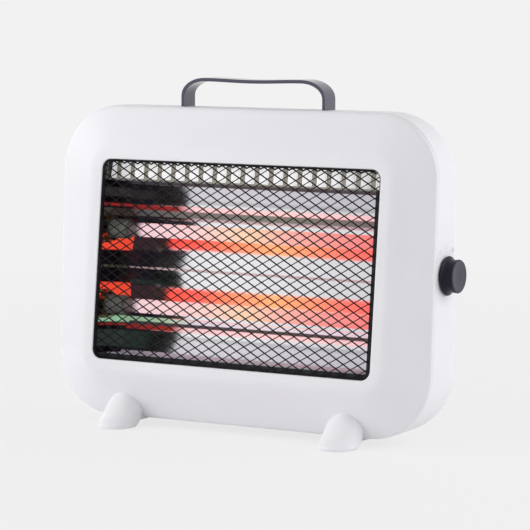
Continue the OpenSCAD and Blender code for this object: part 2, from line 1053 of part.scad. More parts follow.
// Places of the three contacts behind the switch, as depth and height from its axis
switch_contacts = [[0, tab_pitch], [0, -tab_pitch], [tab_pitch + 1, 0]];
contact_x = switch_face_x - switch_l;
contact_l = 7;
contact_h = 5;
contact_t = 0.8;

module switch_tabs() {
    color(brass_yellow)
        at_knob()
            for (c = switch_contacts)
                translate([contact_x - contact_l, c[0] - contact_t / 2, c[1] - contact_h / 2])
                    cube([contact_l, contact_t, contact_h]);
}

// ---------- safety devices ----------

module thermal_cutout() {
    color(plate_dark)
        in_face()
            translate([0, shield_y + sheet_t, cutout_z]) {
                bar_y(0, 3, 8);
                bar_y(2.9, 8, 6);
                for (s = [-1, 1])
                    translate([s * 3.5 - 0.4, 7.9, -2.5])
                        cube([0.8, cutout_tab, 5]);
            }
}

module tip_bracket() {
    color(steel_grey)
        in_rear()
            translate([tip_x, 0, 0])
                difference() {
                    union() {
                        translate([-tip_plate_w / 2, back_in - tip_plate_t, shelf_top - shelf_t])
                            cube([tip_plate_w, tip_plate_t, tip_z + 12 - shelf_top + shelf_t]);
                        translate([-tip_plate_w / 2, tip_y - 6, shelf_top - shelf_t])
                            cube([tip_plate_w, back_in - tip_y + 5, shelf_t]);
                        for (s = [-1, 1])
                            translate([s * (tip_gap + tip_ear / 2) - tip_ear / 2, tip_y - 5, tip_z - 6])
                                cube([tip_ear, back_in - tip_y + 4, 12]);
                    }
                    translate([0, tip_y, tip_z])
                        bar_x(-tip_plate_w, tip_plate_w, tip_pin_r + run_gap / 2);
                    for (z = tip_screw_z)
                        translate([0, 0, z])
                            bar_y(back_in - tip_plate_t - 1, back_in + 1, small_r + slide_gap);
                }
}

module tip_pin() {
    reach = tip_gap + tip_ear + 0.5;
    color(steel_grey)
        in_rear()
            translate([tip_x, tip_y, tip_z])
                bar_x(-reach, reach, tip_pin_r);
}

module tip_pendulum() {
    hub = tip_gap - 0.4;
    color(brass_yellow)
        in_rear()
            translate([tip_x, tip_y, tip_z])
                difference() {
                    union() {
                        bar_x(-hub, hub, tip_hub_r);
                        translate([-2, -1.5, -tip_arm])
                            cube([4, 3, tip_arm]);
                        translate([0, 0, -tip_arm])
                            bar_x(-hub + 0.6, hub - 0.6, tip_weight_r);
                    }
                    bar_x(-tip_gap, tip_gap, tip_pin_r + run_gap);
                }
}

module tip_microswitch() {
    color(rubber_dark)
        in_rear()
            translate([tip_x, tip_y, shelf_top]) {
                translate([-micro_w / 2, -micro_d / 2, 0])
                    cube([micro_w, micro_d, micro_h]);
                cylinder(h = micro_h + 1.2, r = 1.2);
            }
}

// ---------- mains entry ----------

module terminal_block() {
    color(ceramic_grey)
        in_rear()
            translate([block_x, back_in, block_z])
                difference() {
                    translate([-block_w / 2, -block_d, -block_h / 2])
                        cube([block_w, block_d, block_h]);
                    for (p = block_ways) {
                        translate([p[0], -block_d, p[1]]) {
                            bar_y(-1, 2, 2.2);
                            bar_y(0, 8, block_screw_r + thread_gap);
                        }
                    }
                    for (s = [-1, 1])
                        translate([s * block_screw_x, 0, 0]) {
                            bar_y(-block_d - 1, 1, small_r + slide_gap);
                            bar_y(-block_d - 1, -block_seat, small_head_r + slide_gap);
                        }
                }
}

module terminal_screws() {
    color(brass_yellow)
        in_rear()
            for (p = block_ways)
                translate([block_x + p[0], back_in - block_d + 2, block_z + p[1]])
                    rotate([90, 0, 0])
                        screw(block_screw_r, 2, 1.4, 5);
}

module cord_gland() {
    color(rubber_dark)
        in_rear()
            translate([gland_x, 0, gland_z])
                difference() {
                    union() {
                        bar_y(rear_depth, rear_depth + gland_flange_h, gland_flange_r);
                        bar_y(back_in - 0.1, rear_depth + 0.1, gland_neck / 2);
                        bar_y(back_in - gland_flange_h, back_in, gland_neck / 2 + 0.8);
                    }
                    bar_y(0, rear_depth + 20, gland_bore / 2);
                }
}

// Small screws inside the rear shell, each given as its place and its shank's length
module inner_screws() {
    color(steel_grey)
        in_rear() {
            for (z = tip_screw_z)
                translate([tip_x, back_in - tip_plate_t, z])
                    rotate([90, 0, 0])
                        screw(small_r, small_head_r, small_head_h, tip_plate_t + blind_depth - slide_gap);
            for (s = [-1, 1])
                translate([block_x + s * block_screw_x, back_in - block_seat, block_z])
                    rotate([90, 0, 0])
                        screw(small_r, small_head_r, small_head_h, block_seat + blind_depth - slide_gap);
        }
}

// ---------- wiring ----------

function unit(v) = v / norm(v);

// The corner at b between a and c as a short curve of points
function corner(a, b, c) =
    let (u = unit(a - b), v = unit(c - b))
        let (r = min(lead_bend, norm(a - b) * 0.45, norm(c - b) * 0.45))
            [
                for (k = [0 : bend_steps])
                    let (t = k / bend_steps)
                        b + u * r * (1 - t) * (1 - t) + v * r * t * t
            ];

// A list of points with each inner one rounded
function route(p) = concat(
    [p[0]],
    [for (i = [1 : len(p) - 2]) each corner(p[i - 1], p[i], p[i + 1])],
    [p[len(p) - 1]]
);

// Direction of a route at its point i
function heading(p, i) =
    i == 0 ? unit(p[1] - p[0]) :
    i == len(p) - 1 ? unit(p[i] - p[i - 1]) :
    unit(unit(p[i] - p[i - 1]) + unit(p[i + 1] - p[i]));

// Insulated wire through a list of points, with flat ends
module wire(points) {
    p = route(points);
    d = [for (i = [0 : len(p) - 1]) heading(p, i)];
    first = unit(cross(d[0], abs(d[0][2]) > 0.9 ? [1, 0, 0] : [0, 0, 1]));
    across = [
        for (
            i = 0, n = first;
            i < len(p);
            i = i + 1, n = i < len(p) ? unit(n - (n * d[i]) * d[i]) : n
        ) n
    ];
    rings = [
        for (i = [0 : len(p) - 1], k = [0 : lead_sides - 1])
            let (a = 360 * k / lead_sides)
                p[i] + lead_r * (cos(a) * across[i] + sin(a) * cross(d[i], across[i]))
    ];
    walls = [
        for (i = [0 : len(p) - 2], k = [0 : lead_sides - 1])
            let (j = (k + 1) % lead_sides, low = i * lead_sides)
                [low + k, low + j, low + lead_sides + j, low + lead_sides + k]
    ];
    end = (len(p) - 1) * lead_sides;
    in_rear()
        polyhedron(rings, concat(
            [[for (k = [0 : lead_sides - 1]) lead_sides - 1 - k]],
            [for (w = walls) [w[0], w[1], w[2]]],
            [for (w = walls) [w[0], w[2], w[3]]],
            [[for (k = [0 : lead_sides - 1]) end + k]]
        ));
}

// Outer end of a cap, moved out by d along X, in the rear shell's frame
function cap_end(x, side, d) =
    from_face([x, tube_y, reflector_z + side * tube_gap / 2]) + [d, 0, 0];

left_end = tube_shift - tube_l / 2 - cap_out;
right_end = tube_shift + tube_l / 2 + cap_out;
tab_x = contact_x - contact_l / 2;
tab_top = knob_z + tab_pitch + contact_h / 2;
tab_low = knob_z - tab_pitch - contact_h / 2;
block_left = block_x - block_w / 2;
cutout_end = from_face([0, shield_y + sheet_t + 7.9 + cutout_tab, cutout_z]);

module lead_upper_right() {
    a = cap_end(right_end, 1, -2);
    b = cap_end(right_end, 1, 4);
    color(knob_dark)
        wire([a, b, [b[0], knob_y, b[2]], [tab_x, knob_y, b[2]], [tab_x, knob_y, tab_top]]);
}

module lead_lower_right() {
    a = cap_end(right_end, -1, -2);
    b = cap_end(right_end, -1, 4);
    color(knob_dark)
        wire([a, b, [b[0], knob_y, b[2]], [tab_x, knob_y, b[2]], [tab_x, knob_y, tab_low]]);
}

module lead_left() {
    a = cap_end(left_end, 1, 2);
    b = cap_end(left_end, 1, -8);
    turn_z = block_z + 14;
    color(ceramic_grey)
        wire([
            a, b, [b[0], lane_shallow + 2, b[2]], [b[0], lane_shallow + 2, turn_z],
            [b[0] + 24, lane_shallow, low_lane + 3.5], [block_left - 15, lane_shallow, low_lane + 3.5],
            [block_left - 6, lane_mid + 2, block_z], [block_left, lane_mid + 2, block_z]
        ]);
}

module lead_neutral() {
    a = cap_end(left_end, -1, 2);
    b = cap_end(left_end, -1, -4);
    color(ceramic_grey)
        wire([
            a, b, [b[0], lane_shallow - 2, b[2]], [b[0], lane_mid, block_z + 10],
            [b[0] + 24, lane_mid, low_lane], [block_left - 11, lane_mid, low_lane],
            [block_left - 6, lane_deep, block_z - 4], [block_left, lane_deep, block_z - 4]
        ]);
}

module lead_live() {
    start = [tip_x + 4, tip_y - micro_d / 2, shelf_top + micro_h / 2];
    contact_y = knob_y + tab_pitch + 1 + contact_t / 2;
    color(knob_dark)
        wire([
            start, start + [0, -4, 0], [start[0], start[1] - 4, low_lane - 5],
            [boss_x - 16, start[1] - 4, low_lane - 5], [tab_x - 2, lane_mid - 2, low_lane + 26],
            [tab_x, lane_mid - 2, knob_z], [tab_x, contact_y, knob_z]
        ]);
}

module lead_cutout() {
    color(knob_dark)
        wire([
            cutout_end + [3.5, 0, 0], cutout_end + [3.5, 2, -0.2], [30, lane_deep + 3, -20],
            [block_x - 10, lane_deep + 1, -50], [block_x - 10, lane_deep + 1, block_z + block_h / 2]
        ]);
}

module lead_tip() {
    entry = [tip_x + micro_w / 2, tip_y, shelf_top + micro_h / 2];
    color(knob_dark)
        wire([
            cutout_end + [-3.5, 0, 0], cutout_end + [-3.5, 2, -0.2], [tip_x + 30, lane_deep + 3, -20],
            [entry[0] + 12, lane_deep + 1, entry[2] + 10], entry + [10, 0, 0], entry
        ]);
}

// ---------- feet ----------

// A sole disc of diameter d on the floor, joined to a round top that is set by dy, flat below
module toe(d, top_r, h, dy) {
    intersection() {
        hull() {
            cylinder(h = toe_rim_h, r = d / 2);
            translate([0, dy, h - top_r])
                sphere(top_r, $fn = 48);
        }
        translate([-d, -2 * d, 0])
            cube([2 * d, 4 * d, h + 1]);
    }
}

// One foot under the case's centre line: a toe, a low sole and a heel
module foot_form() {
    translate([0, -toe_y, foot_floor])
        toe(toe_d, toe_top_r, toe_h, toe_back);
    translate([0, heel_y, foot_floor])
        toe(heel_d, heel_top_r, heel_h, -heel_back);
    translate([-sole_w / 2, -toe_y, foot_floor + sole_h])
        cube([sole_w, toe_y + heel_y, ground_gap]);
}

module foot(side) {
    color(shell_white)
        difference() {
            in_rear()
                translate([side * foot_x, 0, 0])
                    foot_form();
            in_case()
                case_form();
            in_rear()
                translate([side * foot_x, 0, 0]) {
                    for (y = [-toe_y, heel_y])
                        translate([0, y, foot_floor - 1])
                            cylinder(h = 1 + pad_t - pad_proud, r = pad_r + slide_gap);
                    for (y = foot_screw_y)
                        translate([0, y, foot_floor])
                            cylinder(h = ground_gap + 4, r = small_r + slide_gap);
                }
        }
}

module foot_pads() {
    color(rubber_dark)
        in_rear()
            for (s = [-1, 1], y = [-toe_y, heel_y])
                translate([s * foot_x, y, -case_z])
                    cylinder(h = pad_t, r = pad_r);
}

module foot_screws() {
    color(steel_grey)
        in_rear()
            for (s = [-1, 1], y = foot_screw_y)
                translate([s * foot_x, y, foot_floor + sole_h])
                    rotate([180, 0, 0])
                        screw(small_r, small_head_r, small_head_h, foot_screw_l);
}

module case_screws() {
    color(steel_grey)
        in_case()
            at_case_bosses()
                translate([0, well_floor, 0])
                    rotate([-90, 0, 0])
                        screw(screw_r, head_r, head_h, case_screw_l);
}

front_shell();
rear_shell();
guard_mesh();
guard_frame();
vent_strip();
reflector();
end_plate_left();
end_plate_right();
heat_shield();
tube(1);  // tube_upper
tube(-1);  // tube_lower
coil(1);  // coil_upper
coil(-1);  // coil_lower
cap_left(1);  // cap_upper_left
cap_right(1);  // cap_upper_right
cap_left(-1);  // cap_lower_left
cap_right(-1);  // cap_lower_right
clip_left(1);  // clip_upper_left
clip_right(1);  // clip_upper_right
clip_left(-1);  // clip_lower_left
clip_right(-1);  // clip_lower_right
handle();
handle_screws();
knob();
switch_spindle();
switch_body();
switch_nut();
switch_tabs();
thermal_cutout();
tip_bracket();
tip_pin();
tip_pendulum();
tip_microswitch();
terminal_block();
terminal_screws();
cord_gland();
lead_upper_right();
lead_lower_right();
lead_left();
lead_neutral();
lead_live();
lead_cutout();
lead_tip();
foot(-1);  // foot_left
foot(1);  // foot_right
foot_pads();
foot_screws();
case_screws();
chassis_screws();
guard_screws();
inner_screws();
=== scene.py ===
"""Looks of a free-standing electric bar heater, built round its packed construction.

A size is in millimetres in one of the case's frames until its mesh is made, and in metres after that.
+Z is up, the window faces -Y and the knob is on the +X side.
"""

import logging
import math
from collections.abc import Callable, Iterable, Sequence
from dataclasses import dataclass
from enum import Enum
from functools import partial, reduce

import bmesh
import bpy
from mathutils import Matrix, Vector


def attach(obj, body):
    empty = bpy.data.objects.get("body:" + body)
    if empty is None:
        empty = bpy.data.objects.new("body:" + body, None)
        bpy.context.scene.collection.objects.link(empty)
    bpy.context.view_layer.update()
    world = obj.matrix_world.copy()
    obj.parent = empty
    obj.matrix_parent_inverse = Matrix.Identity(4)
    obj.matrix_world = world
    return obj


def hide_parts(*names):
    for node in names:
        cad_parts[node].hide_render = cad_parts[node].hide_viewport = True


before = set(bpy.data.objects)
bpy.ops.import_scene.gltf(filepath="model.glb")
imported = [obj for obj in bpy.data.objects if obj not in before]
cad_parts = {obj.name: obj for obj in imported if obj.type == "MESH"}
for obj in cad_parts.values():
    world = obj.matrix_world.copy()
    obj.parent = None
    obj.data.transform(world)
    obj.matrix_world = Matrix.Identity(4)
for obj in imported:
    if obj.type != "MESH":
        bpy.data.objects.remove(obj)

LOG = logging.getLogger("heater")
MM = 0.001
LEAN = math.radians(3.2)
CASE_CENTRE = Vector((-5.0, -13.0, 117.0))
NEARLY_HALF = 0.45
ROD_SIDES = 40
CORNERS = ((-1, -1), (-1, 1), (1, -1), (1, 1))

Pair = tuple[float, float]
Triple = tuple[float, float, float]
Colour = Triple
Band = tuple[float, float, Colour]
Stops = Sequence[tuple[float, Colour]]
Ring = list[Vector]
Piece = bpy.types.Object
Socket = bpy.types.NodeSocket
Value = float | Socket
Shade = Colour | Socket


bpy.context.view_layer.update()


class Stand(Enum):
    """A frame of the case, numbered by how often it leans back."""

    REAR = 0
    CASE = 1
    FACE = 2

    @property
    def place(self) -> Matrix:
        """The matrix from this frame's millimetres to the shared metres."""
        lean = Matrix.Rotation(-self.value * LEAN, 4, "X")
        return Matrix.Translation(CASE_CENTRE * MM) @ lean @ Matrix.Scale(MM, 4)


class Body(Enum):
    """The bodies that pieces ride on."""

    HEATER = "heater"
    CONTROL = "control"


class Side(Enum):
    """An end of the case, by its direction along X."""

    LEFT = -1
    RIGHT = 1

    @property
    def word(self) -> str:
        """The end's word in the names of pieces."""
        return self.name.lower()


# ---------- finishes ----------


class Recipe:
    """The nodes of one material, round its Principled shader, or those of the world."""

    def __init__(self, owner: bpy.types.Material | bpy.types.World) -> None:
        """Starts on a new material's or world's nodes.

        Args:
            owner: The material or world.
        """
        owner.use_nodes = True
        self.owner = owner
        self.tree = owner.node_tree
        self.shader = self.tree.nodes.get("Principled BSDF")

    def wire(self, node: bpy.types.Node, values: dict) -> None:
        """Links or sets a node's inputs.

        Args:
            node: The node.
            values: Sources or constants for its inputs, by name or number.
        """
        for key, value in values.items():
            if isinstance(value, Socket):
                self.tree.links.new(value, node.inputs[key])
            else:
                node.inputs[key].default_value = value

    def dress(self, **values: object) -> None:
        """Links or sets the shader's inputs, named with an underscore for each space."""
        self.wire(self.shader, {name.replace("_", " "): value for name, value in values.items()})

    def node(self, kind: str, inputs: dict | None = None, **settings: object) -> bpy.types.Node:
        """Adds a node.

        Args:
            kind: The node's type.
            inputs: Values or sockets for its inputs, by name or number.
            **settings: The node's own properties.

        Returns:
            The node.
        """
        made = self.tree.nodes.new(kind)
        for key, value in settings.items():
            setattr(made, key, value)
        self.wire(made, inputs or {})
        return made

    def position(self) -> Socket:
        """The point's place in metres."""
        return self.node("ShaderNodeTexCoord").outputs["Object"]

    def axis(self, source: Socket, letter: str) -> Socket:
        """One axis of a vector."""
        return self.node("ShaderNodeSeparateXYZ", {0: source}).outputs[letter]

    def across(self) -> Socket:
        """The point's X in millimetres."""
        return self.maths("DIVIDE", self.axis(self.position(), "X"), MM)

    def facing(self) -> Socket:
        """How far the surface faces +Y, from -1 to 1."""
        return self.axis(self.node("ShaderNodeNewGeometry").outputs["Normal"], "Y")

    def face_axis(self, letter: str) -> Socket:
        """One axis of the point's place in the face frame, in millimetres."""
        inputs = {0: self.position(), "Location": CASE_CENTRE * MM, "Rotation": (-2 * LEAN, 0, 0), "Scale": (MM,) * 3}
        return self.axis(self.node("ShaderNodeMapping", inputs, vector_type="TEXTURE").outputs[0], letter)

    def maths(self, operation: str, first: Value, second: Value = 0.0) -> Socket:
        """The result of one sum or product."""
        return self.node("ShaderNodeMath", {0: first, 1: second}, operation=operation).outputs[0]

    def most(self, *shares: Socket) -> Socket:
        """The largest of some shares."""
        return reduce(partial(self.maths, "MAXIMUM"), shares)

    def spread(self, source: Value, low: float, high: float, start: float = 0.3, end: float = 0.7) -> Socket:
        """Maps a value from one range to another.

        Args:
            source: The value.
            low: The result at the range's start.
            high: The result at the range's end.
            start: The range's start.
            end: The range's end.

        Returns:
            The mapped value, held within low and high.
        """
        limits = {0: source, 1: start, 2: end, 3: low, 4: high}
        return self.node("ShaderNodeMapRange", limits).outputs[0]

    def rise(self, source: Value, limits: Pair) -> Socket:
        """A share that rises from 0 to 1 between two limits."""
        return self.spread(source, 0, 1, *limits)

    def fall(self, source: Value, limits: Pair) -> Socket:
        """A share that falls from 1 to 0 between two limits."""
        return self.spread(source, 1, 0, *limits)

    def band(self, value: Value, limits: Pair, soft: float) -> Socket:
        """A share that is 1 while a value lies between two limits.

        Args:
            value: The value.
            limits: The lower and the upper limit.
            soft: How far it fades to both sides of a limit.

        Returns:
            The share.
        """
        low, high = limits
        rise = self.rise(value, (low - soft, low + soft))
        return self.maths("MULTIPLY", rise, self.fall(value, (high - soft, high + soft)))

    def noise(self, size: float, detail: float = 2.0, stretch: Triple = (1, 1, 1)) -> Socket:
        """Soft noise.

        Args:
            size: The size of its patches in millimetres.
            detail: How many finer layers it has.
            stretch: How much longer its patches are along each axis.

        Returns:
            The noise's value.
        """
        scale = [1 / (size * MM * s) for s in stretch]
        mapped = self.node("ShaderNodeMapping", {0: self.position(), "Scale": scale})
        made = self.node("ShaderNodeTexNoise", {"Vector": mapped.outputs[0], "Scale": 1.0, "Detail": detail})
        return made.outputs["Fac"]

    def ramp(self, source: Value, stops: Stops) -> Socket:
        """Colours along a value.

        Args:
            source: The value, from 0 to 1.
            stops: Places and their colours: the first, the last, then those between.

        Returns:
            The colour.
        """
        made = self.node("ShaderNodeValToRGB", {0: source})
        elements = made.color_ramp.elements
        for index, (place, colour) in enumerate(stops):
            stop = elements[index] if index < 2 else elements.new(place)
            stop.position = place
            stop.color = (*colour, 1.0)
        return made.outputs[0]

    def blend(self, share: Value, first: Shade, second: Shade) -> Socket:
        """Mixes two colours.

        Args:
            share: The second colour's share.
            first: A colour or a colour socket.
            second: A colour or a colour socket.

        Returns:
            The mixed colour.
        """
        first, second = ((*c, 1.0) if isinstance(c, tuple) else c for c in (first, second))
        made = self.node("ShaderNodeMix", {0: share, 6: first, 7: second}, data_type="RGBA")
        return made.outputs[2]

    def relief(self, height: Socket, depth: float, strength: float, below: Socket | None = None) -> Socket:
        """Bumps of a given depth.

        Args:
            height: The bumps' height, from 0 to 1.
            depth: Their depth in millimetres.
            strength: How strongly they tilt the surface.
            below: The normal that they are laid on.

        Returns:
            The normal.
        """
        inputs = {"Height": height, "Distance": depth * MM, "Strength": strength}
        if below is not None:
            inputs["Normal"] = below
        return self.node("ShaderNodeBump", inputs).outputs[0]


@dataclass(frozen=True)
class Finish:
    """A surface with an uneven tone, an uneven gloss and a grain."""

    name: str
    colour: Colour
    tone: float = 0.04
    patch: float = 30.0
    roughness: float = 0.4
    gloss_change: float = 0.06
    metallic: float = 0.0
    specular: float = 0.5
    coat: float = 0.0
    grain: float = 0.5
    depth: float = 0.03
    strength: float = 0.15
    stretch: Triple = (1, 1, 1)
    wear: Colour | None = None
    worn_edge: Pair = (0.53, 0.6)
    most_wear: float = 0.7
    least_broken: float = 0.2

    def shade(self, share: float) -> Colour:
        """The colour made lighter or darker by a share."""
        return tuple(min(1.0, channel * (1 + share)) for channel in self.colour)

    def tones(self, recipe: Recipe) -> Socket:
        """The surface's colour, with lighter edges where it wears.

        Args:
            recipe: The material in the making.

        Returns:
            The colour.
        """
        patches = recipe.spread(recipe.noise(self.patch, 3, self.stretch), 0, 1)
        colour = recipe.ramp(patches, [(0, self.shade(-self.tone)), (1, self.shade(self.tone))])
        if self.wear is None:
            return colour
        edge = recipe.node("ShaderNodeNewGeometry").outputs["Pointiness"]
        broken = recipe.spread(recipe.noise(self.patch / 6), self.least_broken, 1)
        share = recipe.maths("MULTIPLY", recipe.spread(edge, 0, self.most_wear, *self.worn_edge), broken)
        return recipe.blend(share, colour, self.wear)

    def gloss(self, recipe: Recipe) -> Socket:
        """The uneven roughness."""
        low, high = self.roughness - self.gloss_change, self.roughness + self.gloss_change
        return recipe.spread(recipe.noise(self.patch / 3, 4, self.stretch), low, high)

    def dress(self, recipe: Recipe) -> None:
        """Sets the shader's inputs.

        Args:
            recipe: The material in the making.
        """
        recipe.dress(Metallic=self.metallic, Specular_IOR_Level=self.specular, Coat_Weight=self.coat)
        grain = recipe.noise(self.grain, 3, self.stretch)
        relief = recipe.relief(grain, self.depth, self.strength)
        recipe.dress(Base_Color=self.tones(recipe), Roughness=self.gloss(recipe), Normal=relief)

    @property
    def material(self) -> bpy.types.Material:
        """The finish's material, made once.

        Returns:
            The material.
        """
        known = bpy.data.materials.get(self.name)
        if known is None:
            known = bpy.data.materials.new(self.name)
            self.dress(Recipe(known))
        return known


@dataclass(frozen=True)
class MirrorSheet(Finish):
    """Polished sheet metal with faint rolling lines and shallow waves."""

    wave: float = 24.0
    wave_depth: float = 0.2
    wave_strength: float = 0.05
    wave_stretch: Triple = (3, 1, 1)

    def dress(self, recipe: Recipe) -> None:
        """Adds the waves to the rolling lines.

        Args:
            recipe: The material in the making.
        """
        super().dress(recipe)
        fine = recipe.relief(recipe.noise(self.grain, 2, self.stretch), self.depth, self.strength)
        waves = recipe.noise(self.wave, 1, self.wave_stretch)
        recipe.dress(Normal=recipe.relief(waves, self.wave_depth, self.wave_strength, fine))


@dataclass(frozen=True)
class PaintedGlowAndReflections:
    """Painted reflections and a painted red glow on the sheet round the tubes' ends, by height from the ridge."""

    middle: float = -4.35
    reach: float = 60.0
    soft: float = 0.4
    glow: float = 0.85
    # dark is the plates' own colour, also used as a painted dark reflection; the other colours are painted reflections
    # and painted red glow, and no_light is no glow.
    dark: Colour = (0.01, 0.009, 0.014)
    maroon: Colour = (0.085, 0.02, 0.022)
    stone: Colour = (0.2, 0.205, 0.17)
    mint: Colour = (0.38, 0.68, 0.46)
    mint_light: Colour = (0.19, 0.34, 0.23)
    red: Colour = (0.95, 0.075, 0.035)
    ember: Colour = (0.3, 0.02, 0.015)
    moss: Colour = (0.022, 0.034, 0.028)
    dim_grey_reflection: Colour = (0.03, 0.026, 0.028)
    dim_red_reflection: Colour = (0.046, 0.024, 0.03)
    no_light: Colour = (0.0, 0.0, 0.0)

    def height(self, recipe: Recipe) -> Socket:
        """Millimetres above the ridge."""
        return recipe.maths("SUBTRACT", recipe.face_axis("Z"), self.middle)

    def banded(self, recipe: Recipe, ground: Colour, bands: Sequence[Band]) -> Socket:
        """Lays bands of colour on a ground.

        Args:
            recipe: The material in the making.
            ground: The colour between the bands.
            bands: The lower edge, the upper edge and the colour of each.

        Returns:
            The colour.
        """
        stops = [(0.0, ground), (1.0, ground)]
        for low, high, colour in bands:
            for edge, before, after in ((low, ground, colour), (high, colour, ground)):
                for height, shade in ((edge - self.soft, before), (edge + self.soft, after)):
                    stops.append(((height + self.reach) / (2 * self.reach), shade))
        return recipe.ramp(recipe.rise(self.height(recipe), (-self.reach, self.reach)), stops)

    def coat(self, recipe: Recipe) -> Socket:
        """The plates' own dark colour, with bands of painted reflection of the folds and of the tubes' red glow."""
        bands = [(-40.4, -35.8, self.mint), (-34.6, -23.5, self.maroon), (-0.9, 0.7, self.stone),
                 (23.5, 35.2, self.maroon), (36.8, 42.2, self.stone)]
        return self.banded(recipe, self.dark, bands)

    def light(self, recipe: Recipe) -> Socket:
        """The painted light on the plates: the tubes' red glow and reflections of the folds, as emission."""
        bands = [(-58.0, -46.0, self.moss), (-42.8, -41.4, self.ember), (-40.4, -35.8, self.mint_light),
                 (-22.3, -11.8, self.red), (11.8, 22.3, self.red), (43.6, 45.6, self.ember), (50.5, 57.0, self.dim_grey_reflection)]
        return self.banded(recipe, self.no_light, bands)

    def end_painted_light(self, recipe: Recipe) -> Socket:
        """The painted light that the reflector shows beside the tubes' ends: dim painted reflections, as emission."""
        bands = [(-58.0, -46.0, self.moss), (-25.0, -12.5, self.dim_red_reflection), (-12.1, -8.6, self.moss),
                 (12.5, 25.0, self.dim_red_reflection), (49.5, 55.5, self.dim_grey_reflection)]
        return self.banded(recipe, self.dark, bands)


@dataclass(frozen=True)
class FoldedMirror(MirrorSheet):
    """The reflector's sheet, dulled where it is folded and at its ends, with painted reflections, painted highlights,
    painted shade and a painted red glow, and a painted dark reflection at its left end.

    Its heights are from the ridge and its ends along X, each with where a change starts and ends.
    """

    lower_fold: Pair = (-44.6, -35.8)
    upper_fold: Pair = (35.4, 45.4)
    upper_lip: Pair = (42.0, 45.4)
    ridge: Pair = (-0.7, 0.7)
    lip_soft: float = 0.4
    fold_soft: float = 0.6
    edges: Pair = (59.6, 60.2)
    crease_top: Pair = (-39.2, -38.5)
    crease_low: Pair = (-41.6, -40.8)
    lower_top: Pair = (-34.0, -33.0)
    upper_start: Pair = (20.0, 21.0)
    step_start: Pair = (37.0, 37.8)
    step_end: Pair = (41.4, 42.2)
    wing: Pair = (43.0, 61.0)
    # Lighter and darker bands across the wings are painted reflections.
    wing_tones: Stops = ((0, (1, 1, 1)), (1, (0.76, 0.73, 0.77)), (0.2, (1, 1, 1)), (0.28, (0.68, 0.67, 0.69)),
                         (0.36, (0.68, 0.67, 0.69)), (0.46, (0.83, 0.8, 0.84)))
    # Along X: where the folds' painted dark reflection, their painted mint reflection, the mirror's painted dark
    # reflection and its painted reflection tint start and end; past end the sheet carries the plates' painted
    # reflections and glow.
    dark_end: Pair = (-66.0, -54.0)
    tint_end: Pair = (-74.0, -46.0)
    painted_dark_span: Pair = (-87.0, -79.0)
    reflection_tint_span: Pair = (-10.0, 105.0)
    end: Pair = (103.4, 104.2)
    # The folds' painted reflection colours, the painted reflection tint, the painted dark reflection and the ridge's
    # painted highlight.
    upper: Colour = (0.23, 0.35, 0.34)
    lower: Colour = (0.68, 0.76, 0.88)
    crease: Colour = (0.05, 0.05, 0.055)
    blush: Colour = (0.84, 0.66, 0.7)
    reflection_tint: Colour = (0.74, 0.735, 0.78)
    painted_dark: Colour = (0.02, 0.012, 0.014)
    ridge_colour: Colour = (0.72, 0.6, 0.63)
    # A painted highlight on the lower edge and painted shade on the upper edge, and how strongly the lips' painted
    # colours glow.
    edge_colours: tuple[Colour, Colour] = ((0.6, 0.62, 0.74), (0.09, 0.105, 0.12))
    fold_glow: float = 0.5
    dullest: float = 0.55
    marks: PaintedGlowAndReflections = PaintedGlowAndReflections()

    def folds(self, recipe: Recipe, height: Socket) -> Socket:
        """The painted reflections on the folds.

        Args:
            recipe: The material in the making.
            height: Millimetres above the ridge.

        Returns:
            The painted colour of both folds and the ridge.
        """
        # Left of dark_end the folds show a painted dark reflection: dark red instead of pink and dark instead of pale
        # blue.
        lit = recipe.rise(recipe.face_axis("X"), self.dark_end)
        blush = recipe.blend(lit, self.marks.ember, self.blush)
        coat = recipe.blend(recipe.rise(recipe.face_axis("X"), self.tint_end), self.marks.mint, self.lower)
        # From the bottom up: painted pink reflection of the glow, a painted dark line, painted mint or pale blue, the
        # ridge's painted highlight, pale blue or painted dark, painted grey-green and painted pink.
        for share, colour in (
            (recipe.fall(height, self.crease_top), self.crease),
            (recipe.fall(height, self.crease_low), blush),
            (recipe.rise(height, self.lower_top), self.ridge_colour),
            (recipe.rise(height, self.upper_start), recipe.blend(lit, self.marks.dark, self.lower)),
            (recipe.rise(height, self.step_start), self.upper),
            (recipe.rise(height, self.step_end), blush),
        ):
            coat = recipe.blend(share, coat, colour)
        return coat

    def clear(self, recipe: Recipe, away: Socket, painted_dark: Socket) -> Socket:
        """The mirror's colour, with painted reflection bands in the wings, a painted reflection tint towards +X and a
        painted dark reflection at its left end.

        Args:
            recipe: The material in the making.
            away: Millimetres from the ridge, up or down.
            painted_dark: The painted dark reflection's share.

        Returns:
            The colour.
        """
        wings = recipe.ramp(recipe.rise(away, self.wing), self.wing_tones)
        reflection_tinted = recipe.blend(recipe.rise(recipe.face_axis("X"), self.reflection_tint_span), self.tones(recipe), self.reflection_tint)
        wing_reflections = recipe.node("ShaderNodeVectorMath", {0: reflection_tinted, 1: wings}, operation="MULTIPLY")
        return recipe.blend(painted_dark, wing_reflections.outputs[0], self.painted_dark)

    def dress(self, recipe: Recipe) -> None:
        """Dulls the folds, the edges and the ends, and paints reflections, highlights, shade and glow on them.

        Args:
            recipe: The material in the making.
        """
        super().dress(recipe)
        marks = self.marks
        height = marks.height(recipe)
        away = recipe.maths("ABSOLUTE", height)
        # The lower fold and the upper lip glow with their painted colours, as painted light.
        lips = (recipe.band(height, limits, self.lip_soft) for limits in (self.lower_fold, self.upper_lip))
        glowing = recipe.maths("ADD", *lips)
        upper = recipe.band(height, self.upper_fold, self.fold_soft)
        folded = recipe.most(glowing, upper, recipe.band(height, self.ridge, self.lip_soft))
        edge = recipe.rise(away, self.edges)
        end = recipe.rise(recipe.maths("ABSOLUTE", recipe.face_axis("X")), self.end)
        dull = recipe.most(folded, edge, end)
